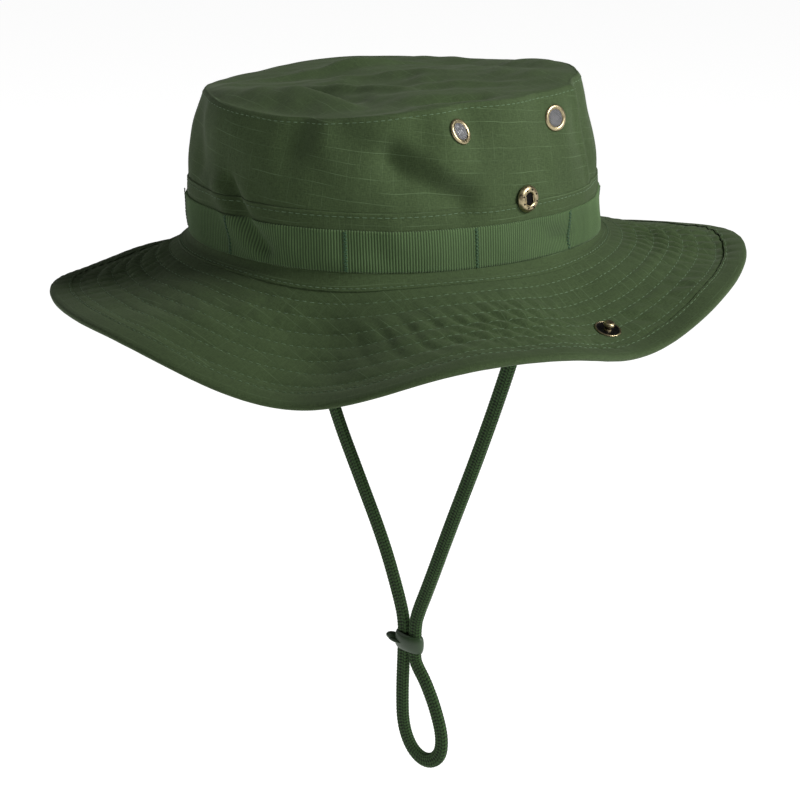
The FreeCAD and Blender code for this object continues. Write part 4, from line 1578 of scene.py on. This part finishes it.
@dataclass
class Snaps:
    """Side snaps: sockets on the crown and studs on the brim."""

    brass: bpy.types.Material
    dark: bpy.types.Material
    # Near-black finish for the painted shade in the socket's hollows.
    black: bpy.types.Material
    socket_height: float = 31.5
    socket_y: float = -2.5
    socket_lift: float = 0.55
    stud_angle: float = 3.6
    stud_out: float = 48.0
    socket_profile: tuple = (
        (0.15, 0.45), (2.7, 0.45), (2.75, 1.75), (2.9, 2.05), (3.3, 2.3), (3.9, 2.42), (4.6, 2.36), (5.2, 2.1),
        (5.7, 1.65), (6.0, 1.15), (6.15, 0.7), (6.1, 0.35), (5.9, 0.15), (0.15, 0.15),
    )
    dimples: int = 8
    spring_profile: tuple = ((0.18, -1.6), (0.22, -1.2), (0.22, 1.2), (0.18, 1.6))
    base_profile: tuple = (
        (0.1, 1.45), (5.7, 1.45), (6.0, 1.55), (6.05, 1.75), (5.8, 1.95), (5.4, 1.9), (4.8, 1.66), (3.6, 1.56),
        (2.4, 1.56), (0.1, 1.56),
    )
    rim_profile: tuple = ((5.35, 1.86), (5.55, 2.02), (5.85, 2.06), (6.1, 1.9), (6.15, 1.66), (5.35, 1.6), (5.35, 1.86))
    knob_profile: tuple = (
        (0.1, 1.5), (1.9, 1.5), (1.7, 1.9), (1.62, 2.6), (1.75, 3.1), (2.3, 3.45), (2.62, 3.9), (2.62, 4.35),
        (2.4, 4.85), (1.9, 5.2), (1.1, 5.38), (0.1, 5.42),
    )

    def socket(self, side: Side) -> None:
        """The socket on one side of the crown, its spring, and painted shade in its dimples and slot."""
        where = Seat.on_wall(wall_turn(self.socket_y, self.socket_height, side), self.socket_height, self.socket_lift)
        piece = turned_part(f"socket_shell_{side.word}", round_rings(self.socket_profile), 64, True)
        where.fit(piece, self.brass, 60.0, "hat", "brass", f"snap_socket_{side.word}")
        # Near-black discs in the dimples and on the slot's floor: painted shade in these hollows.
        shade_discs = []
        for k in range(self.dimples):
            turn = 2.0 * math.pi * (k + 0.5) / self.dimples
            pit = turned_part(f"pit_{k}", round_rings([(0.46, 1.9), (0.46, 2.44), (0.1, 2.45)]), 12, True)
            pit.data.transform(Matrix.Translation(Vector((4.25 * math.cos(turn), 4.25 * math.sin(turn), 0.0)) * MM))
            shade_discs.append(pit)
        shade_discs.append(turned_part("slot_floor", round_rings([(2.68, 0.46), (2.68, 1.5), (0.2, 1.45)]), 32, True))
        where.fit(join_parts(f"socket_dark_{side.word}", shade_discs), self.black, 60.0, "hat", "dark_brass")
        springs = []
        for sign in (-1.0, 1.0):
            wire = turned_part("spring", round_rings(self.spring_profile), 10, True)
            place = Matrix.Translation(Vector((sign * 2.3, 0.0, 1.8)) * MM)
            wire.data.transform(place @ Matrix.Rotation(math.pi / 2, 4, "X"))
            springs.append(wire)
        where.fit(join_parts(f"socket_spring_{side.word}", springs), self.brass, 60.0, "hat", "brass")

    def stud(self, side: Side) -> None:
        """The stud on one side of the brim."""
        turn = math.radians(self.stud_angle)
        turn = turn if side is Side.LEFT else math.pi - turn
        where = Seat.on_brim(turn, self.stud_out)
        body = f"{side.word}_flap"
        for name, profile, fill, material, slot in (
            ("stud_base", self.base_profile, True, self.dark, "dark_brass"),
            ("stud_knob", self.knob_profile, True, self.brass, "brass"),
            ("stud_rim", self.rim_profile, False, self.brass, "brass"),
        ):
            piece = turned_part(f"{name}_{side.word}", round_rings(profile), HARDWARE_SIDES, fill)
            where.fit(piece, material, 50.0, body, slot, f"snap_stud_{side.word}")

    def build(self) -> None:
        """Makes both snaps and dresses their caps."""
        for side in Side:
            self.socket(side)
            self.stud(side)
            for stem, material in (("snap_socket_cap", self.brass), ("snap_stud_cap", self.dark)):
                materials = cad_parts[f"{stem}_{side.word}"].data.materials
                materials.clear()
                materials.append(material)


# ---------------------------------------------------------------- chin cord


@dataclass
class ChinCord:
    """The flat braided cord, its slider and its tabs."""

    braid: bpy.types.Material
    plastic: bpy.types.Material
    cloth: bpy.types.Material
    plane_y: float = 12.0
    width: float = 7.6
    thick: float = 3.6
    step: float = 0.4
    strand: float = 1.7
    columns: float = 1.75
    slider_middle: tuple = (4.65, -212.2)
    tab_share: float = 0.98
    route: tuple = (
        (79.3, -4.0), (75.5, -26.0), (63.2, -62.7), (48.1, -102.7), (31.5, -142.5), (17.8, -177.5),
        (9.7, -196.5), (8.6, -203.0), (8.6, -219.5), (11.2, -224.0), (17.2, -230.0), (24.7, -241.5),
        (30.7, -255.7), (29.3, -267.2), (19.6, -273.2), (9.1, -270.2), (1.9, -259.2), (0.5, -242.2),
        (0.75, -220.5), (0.75, -203.0), (-3.9, -190.2), (-15.9, -165.2), (-34.9, -136.2), (-53.4, -108.2),
        (-66.5, -81.0), (-75.3, -46.0), (-79.3, -4.0),
    )

    def centreline(self) -> Array:
        """Points of the cord's smooth line, from the left tab to the right one, in millimetres."""
        curve = bpy.data.curves.new("cord_route", "CURVE")
        curve.dimensions = "3D"
        spline = curve.splines.new("NURBS")
        spline.points.add(len(self.route) - 1)
        for point, (x, z) in zip(spline.points, self.route):
            point.co = (x * MM, self.plane_y * MM, z * MM, 1.0)
        spline.order_u = 3
        spline.use_endpoint_u = True
        spline.resolution_u = 32
        holder = bpy.data.objects.new("cord_route", curve)
        bpy.context.scene.collection.objects.link(holder)
        bpy.context.view_layer.update()
        line = bpy.data.meshes.new_from_object(holder.evaluated_get(bpy.context.evaluated_depsgraph_get()))
        points = np.array([v.co for v in line.vertices]) / MM
        bpy.data.objects.remove(holder)
        bpy.data.curves.remove(curve)
        bpy.data.meshes.remove(line)
        run = np.concatenate([[0.0], np.cumsum(np.linalg.norm(np.diff(points, axis=0), axis=1))])
        places = np.arange(0.0, run[-1], self.step)
        return np.stack([np.interp(places, run, points[:, axis]) for axis in range(3)], -1)

    def braid_lift(self, run: Array, across: Array) -> Array:
        """Height of the plaited strands: slanted stitches in columns, with a groove between two columns."""
        column = across / self.columns
        zigzag = np.abs((column + 0.5) % 2.0 - 1.0)
        stitch = np.abs(np.sin(math.pi * (run / self.strand + 0.5 * zigzag))) ** 0.7
        groove = np.exp(-((((column + 0.5) % 1.0) - 0.5) / 0.16) ** 2)
        return 0.30 * stitch - 0.16 * groove

    def tube(self, name: str, line: Array, start_run: float) -> bpy.types.Object:
        """Flat braid along part of the centreline, with closed ends."""
        along = np.gradient(line, axis=0)
        along = along / np.linalg.norm(along, axis=1, keepdims=True)
        face = np.array([0.0, 1.0, 0.0])
        across = np.cross(face, along)
        sides = 40
        turn = np.linspace(0.0, 2.0 * math.pi, sides, endpoint=False)
        flat = np.sign(np.cos(turn)) * np.abs(np.cos(turn)) ** 0.6 * (self.width / 2 - 0.12)
        deep = np.sign(np.sin(turn)) * np.abs(np.sin(turn)) ** 0.6 * (self.thick / 2 - 0.12)
        around = np.concatenate([[0.0], np.cumsum(np.hypot(np.diff(flat), np.diff(deep)))])
        run = start_run + np.arange(len(line)) * self.step
        lift = self.braid_lift(run[:, None], around[None, :])
        points = line[:, None] + across[:, None] * flat[None, :, None]
        points = points + across[:, None] * (np.cos(turn)[None, :] * lift * 0.6)[..., None]
        points = points + face * (deep[None, :] + np.sin(turn)[None, :] * lift)[..., None]
        ends = np.stack([np.repeat(line[:1], sides, 0), np.repeat(line[-1:], sides, 0)])
        grid = np.concatenate([ends[:1], points, ends[1:]])
        rows = len(grid)
        r, k = np.meshgrid(np.arange(rows - 1), np.arange(sides), indexing="ij")
        r, k = r.ravel(), k.ravel()
        n = (k + 1) % sides
        quads = np.stack([r * sides + k, r * sides + n, (r + 1) * sides + n, (r + 1) * sides + k], -1)
        u = np.concatenate([flat, flat[:1]])
        runs = np.concatenate([[run[0]], run, [run[-1]]])
        grain = np.stack([
            np.stack([u[k], runs[r]], -1), np.stack([u[k + 1], runs[r]], -1),
            np.stack([u[k + 1], runs[r + 1]], -1), np.stack([u[k], runs[r + 1]], -1),
        ], 1)
        piece = mesh_from(name, grid.reshape(-1, 3), quads, grain)
        # Relief for the braid material's painted shade between the strands and lighter strand tops.
        store_relief(piece, np.pad(lift, ((1, 1), (0, 0))).ravel() / 0.3)
        merge_doubles(piece)
        return finish_mesh(piece, self.braid, 75.0)

    def strands(self) -> None:
        """The two hanging strands and the loop below the slider."""
        line = self.centreline()
        crossing = np.where(np.diff(np.sign(line[:, 2] - self.slider_middle[1])) != 0)[0]
        first, last = int(crossing[0]) + 1, int(crossing[-1]) + 1
        spans = {
            "cord_strand_left": (0, first),
            "cord_loop": (first - 1, last + 1),
            "cord_strand_right": (last, len(line)),
        }
        for name, (begin, end) in spans.items():
            part = line[begin:end]
            piece = self.tube(name, part, begin * self.step)
            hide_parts("chin_cord")
            if name == "cord_loop":
                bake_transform(piece)
            else:
                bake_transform(piece)

    def slider(self) -> bpy.types.Object:
        """Oval bead with a slot, a moulded crease and a small bill."""
        half_z = 4.4
        rings = [
            (8.0, 2.15, 0.0), (8.0, 2.15, -half_z + 0.6), (8.15, 2.4, -half_z + 0.15), (8.5, 3.0, -half_z),
            (8.9, 3.7, -half_z + 0.45), (9.25, 4.3, -half_z + 1.5), (9.45, 4.6, -1.4), (9.5, 4.7, 0.0),
            (9.45, 4.6, 1.4), (9.25, 4.3, half_z - 1.5), (8.9, 3.7, half_z - 0.45), (8.5, 3.0, half_z),
            (8.15, 2.4, half_z - 0.15), (8.0, 2.15, half_z - 0.6), (8.0, 2.15, 0.0),
        ]
        piece = turned_part("slider_bead", rings, 64, False)
        lobes = []
        for place, size in (((-10.4, -1.4, 0.1), (4.4, 2.9, 1.9)), ((-6.0, -3.4, -0.5), (5.6, 1.9, 1.0))):
            deselect()
            bpy.ops.mesh.primitive_uv_sphere_add(segments=32, ring_count=20, radius=MM, location=(0.0, 0.0, 0.0))
            lobe = bpy.context.object
            lobe.data.transform(Matrix.Translation(Vector(place) * MM) @ Matrix.Diagonal((*size, 1.0)))
            lobes.append(lobe)
        join_parts("slider_bead", [piece, *lobes])
        where = Vector((self.slider_middle[0], self.plane_y, self.slider_middle[1])) * MM
        piece.data.transform(Matrix.Translation(where))
        finish_mesh(piece, self.plastic, 45.0)
        return declare(piece, "cord_slider", "slider", "cord_slider")

    def tab(self, side: Side) -> bpy.types.Object:
        """Cloth tab that holds one end of the cord against the sweatband."""
        low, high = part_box(f"cord_tab_{side.word}")
        middle = (low + high) / 2
        deselect()
        bpy.ops.mesh.primitive_cube_add(size=1.0, location=(0.0, 0.0, 0.0))
        piece = bpy.context.object
        piece.name = f"cord_keeper_{side.word}"
        size = (high - low) * self.tab_share
        piece.data.transform(Matrix.Translation(middle) @ Matrix.Diagonal((*size, 1.0)))
        bevel = piece.modifiers.new("round", "BEVEL")
        bevel.width = 1.1 * MM
        bevel.segments = 4
        bpy.ops.object.modifier_apply(modifier="round")
        bpy.ops.object.mode_set(mode="EDIT")
        bpy.ops.mesh.select_all(action="SELECT")
        bpy.ops.mesh.subdivide(number_cuts=3)
        bpy.ops.object.mode_set(mode="OBJECT")
        layer = piece.data.uv_layers.active
        layer.name = "grain"
        for loop in piece.data.loops:
            point = piece.data.vertices[loop.vertex_index].co / MM
            layer.data[loop.index].uv = (point.x + point.y, point.z)
        finish_mesh(piece, self.cloth, 50.0)
        return declare(piece, "hat", "ripstop", f"cord_tab_{side.word}")

    def build(self) -> None:
        """Makes the cord, slider and tabs."""
        self.strands()
        self.slider()
        for side in Side:
            self.tab(side)


# ---------------------------------------------------------------- studio


def direction(azimuth: float, elevation: float) -> Vector:
    """Unit vector from the hat towards an azimuth from its front and an elevation, in radians."""
    level = math.cos(elevation)
    return Vector((math.sin(azimuth) * level, -math.cos(azimuth) * level, math.sin(elevation)))


@dataclass
class Studio:
    """Pale floor, soft lights and the camera."""

    azimuth: float = 46.725
    elevation: float = 17.174
    roll: float = 1.603
    distance: float = 1.150
    aim_right: float = 0.00159
    aim_up: float = -0.08035
    lens: float = 109.0
    sensor: float = 36.0
    floor_level: float = -0.30
    floor_size: float = 60.0
    lamp_distance: float = 1.9

    def camera(self) -> None:
        """Sets the camera at three quarters from the front, a little above."""
        a, e, roll = math.radians(self.azimuth), math.radians(self.elevation), math.radians(self.roll)
        back = direction(a, e)
        right = Vector((math.cos(a), math.sin(a), 0.0))
        up = back.cross(right)
        tilted_right = right * math.cos(roll) + up * math.sin(roll)
        tilted_up = up * math.cos(roll) - right * math.sin(roll)
        data = bpy.data.cameras.new("camera")
        data.lens = self.lens
        data.sensor_width = self.sensor
        camera = bpy.data.objects.new("camera", data)
        bpy.context.scene.collection.objects.link(camera)
        aim = tilted_right * self.aim_right + tilted_up * self.aim_up
        turn = Matrix((tilted_right, tilted_up, back)).transposed().to_4x4()
        camera.matrix_world = Matrix.Translation(aim + back * self.distance) @ turn
        bpy.context.scene.camera = camera

    def light(self, name: str, azimuth: float, elevation: float, size: float, power: float, colour: Colour) -> None:
        """Adds one large soft light that points at the hat."""
        back = direction(math.radians(azimuth), math.radians(elevation))
        data = bpy.data.lights.new(name, "AREA")
        data.shape = "DISK"
        data.size = size
        data.energy = power
        data.color = colour
        lamp = bpy.data.objects.new(name, data)
        bpy.context.scene.collection.objects.link(lamp)
        lamp.location = back * self.lamp_distance
        lamp.rotation_mode = "QUATERNION"
        lamp.rotation_quaternion = back.to_track_quat("Z", "Y")

    def floor(self) -> None:
        """A wide pale floor below the hanging cord."""
        deselect()
        bpy.ops.mesh.primitive_plane_add(size=self.floor_size, location=(0.0, 0.0, self.floor_level))
        floor = bpy.context.object
        floor.name = "studio_floor"
        material, w, shader = start_material("pale_floor")
        w.set_inputs(
            shader, Base_Color=(0.42, 0.42, 0.42, 1.0), Roughness=0.95, Specular_IOR_Level=0.0,
            Emission_Color=(1.0, 1.0, 1.0, 1.0), Emission_Strength=0.92,
        )
        floor.data.materials.append(material)

    def build(self) -> None:
        """Makes the whole studio."""
        scene = bpy.context.scene
        scene.view_settings.view_transform = "Standard"
        world = bpy.data.worlds.new("soft_sky")
        world.use_nodes = True
        sky = world.node_tree.nodes["Background"]
        Wiring(world.node_tree).set_inputs(sky, Color=(1.0, 1.0, 1.0, 1.0), Strength=0.05)
        scene.world = world
        self.floor()
        self.light("key", 114.0, 34.0, 0.9, 39.0, (1.0, 1.0, 0.98))
        self.light("fill", 20.0, 62.0, 1.2, 1.4, (0.98, 1.0, 0.99))
        self.light("rim", 290.0, 30.0, 1.0, 3.0, (1.0, 1.0, 1.0))
        self.camera()


def main() -> None:
    """Builds the studio and every sub-assembly in order."""
    logging.basicConfig(level=logging.INFO, format="%(name)s: %(message)s")
    paint = Paint(ripstop_group(), fibre_group(), wear_group())
    Studio().build()
    cloth = RipstopFinish().material(paint)
    binding = RipstopFinish("edge_tape_cotton", (0.0395, 0.0640, 0.0232), fade=0.45).material(paint)
    # groove paints shade between the webbing's ribs and a lighter tone on their tops.
    webbing = FibreFinish(
        "grosgrain", (0.076, 0.132, 0.050), fine=1.6, contrast=0.35, groove=0.45
    ).material(paint)
    thread, tack = (
        FibreFinish(name, colour, from_object=True, fine=2.0, contrast=0.4).material(paint)
        for name, colour in (("stitch_thread", (0.115, 0.185, 0.10)), ("tack_thread", (0.040, 0.092, 0.042)))
    )
    twill = FibreFinish("sweatband_cotton", (0.052, 0.072, 0.042)).material(paint)
    tape = FibreFinish("seam_tape_cotton", (0.055, 0.076, 0.045)).material(paint)
    felt = FibreFinish("interlining_felt", (0.55, 0.55, 0.50), contrast=0.15).material(paint)
    # groove paints deep shade between the braid's strands and a lighter tone on their tops.
    braid = FibreFinish(
        "braided_cord", (0.036, 0.076, 0.024), fine=1.4, contrast=0.4, groove=0.10, sheen=0.03
    ).material(paint)
    brass = MetalFinish("antique_brass", (0.43, 0.36, 0.22), (0.10, 0.08, 0.045), 0.45).material(paint)
    dark = MetalFinish("blackened_brass", (0.30, 0.27, 0.24), (0.05, 0.045, 0.045), 0.6).material(paint)
    # Near-black finish: painted shade in the sockets' dimples and slots.
    black = MetalFinish("socket_hollow_shade", (0.012, 0.011, 0.010), (0.004, 0.004, 0.004), 0.8).material(paint)
    wire = MetalFinish("steel_wire", (0.34, 0.34, 0.36), (0.18, 0.18, 0.19), 0.3, 0.35).material(paint)
    plastic = PlasticFinish().material(paint)
    ChinCord(braid, plastic, cloth).build()
    Crown(cloth, tape, thread).build()
    Bands(cloth, webbing, twill, thread, tack).build()
    Brim(cloth, binding, felt, thread).build()
    Vents(brass, wire).build()
    Snaps(brass, dark, black).build()


if __name__ == "__main__":
    main()
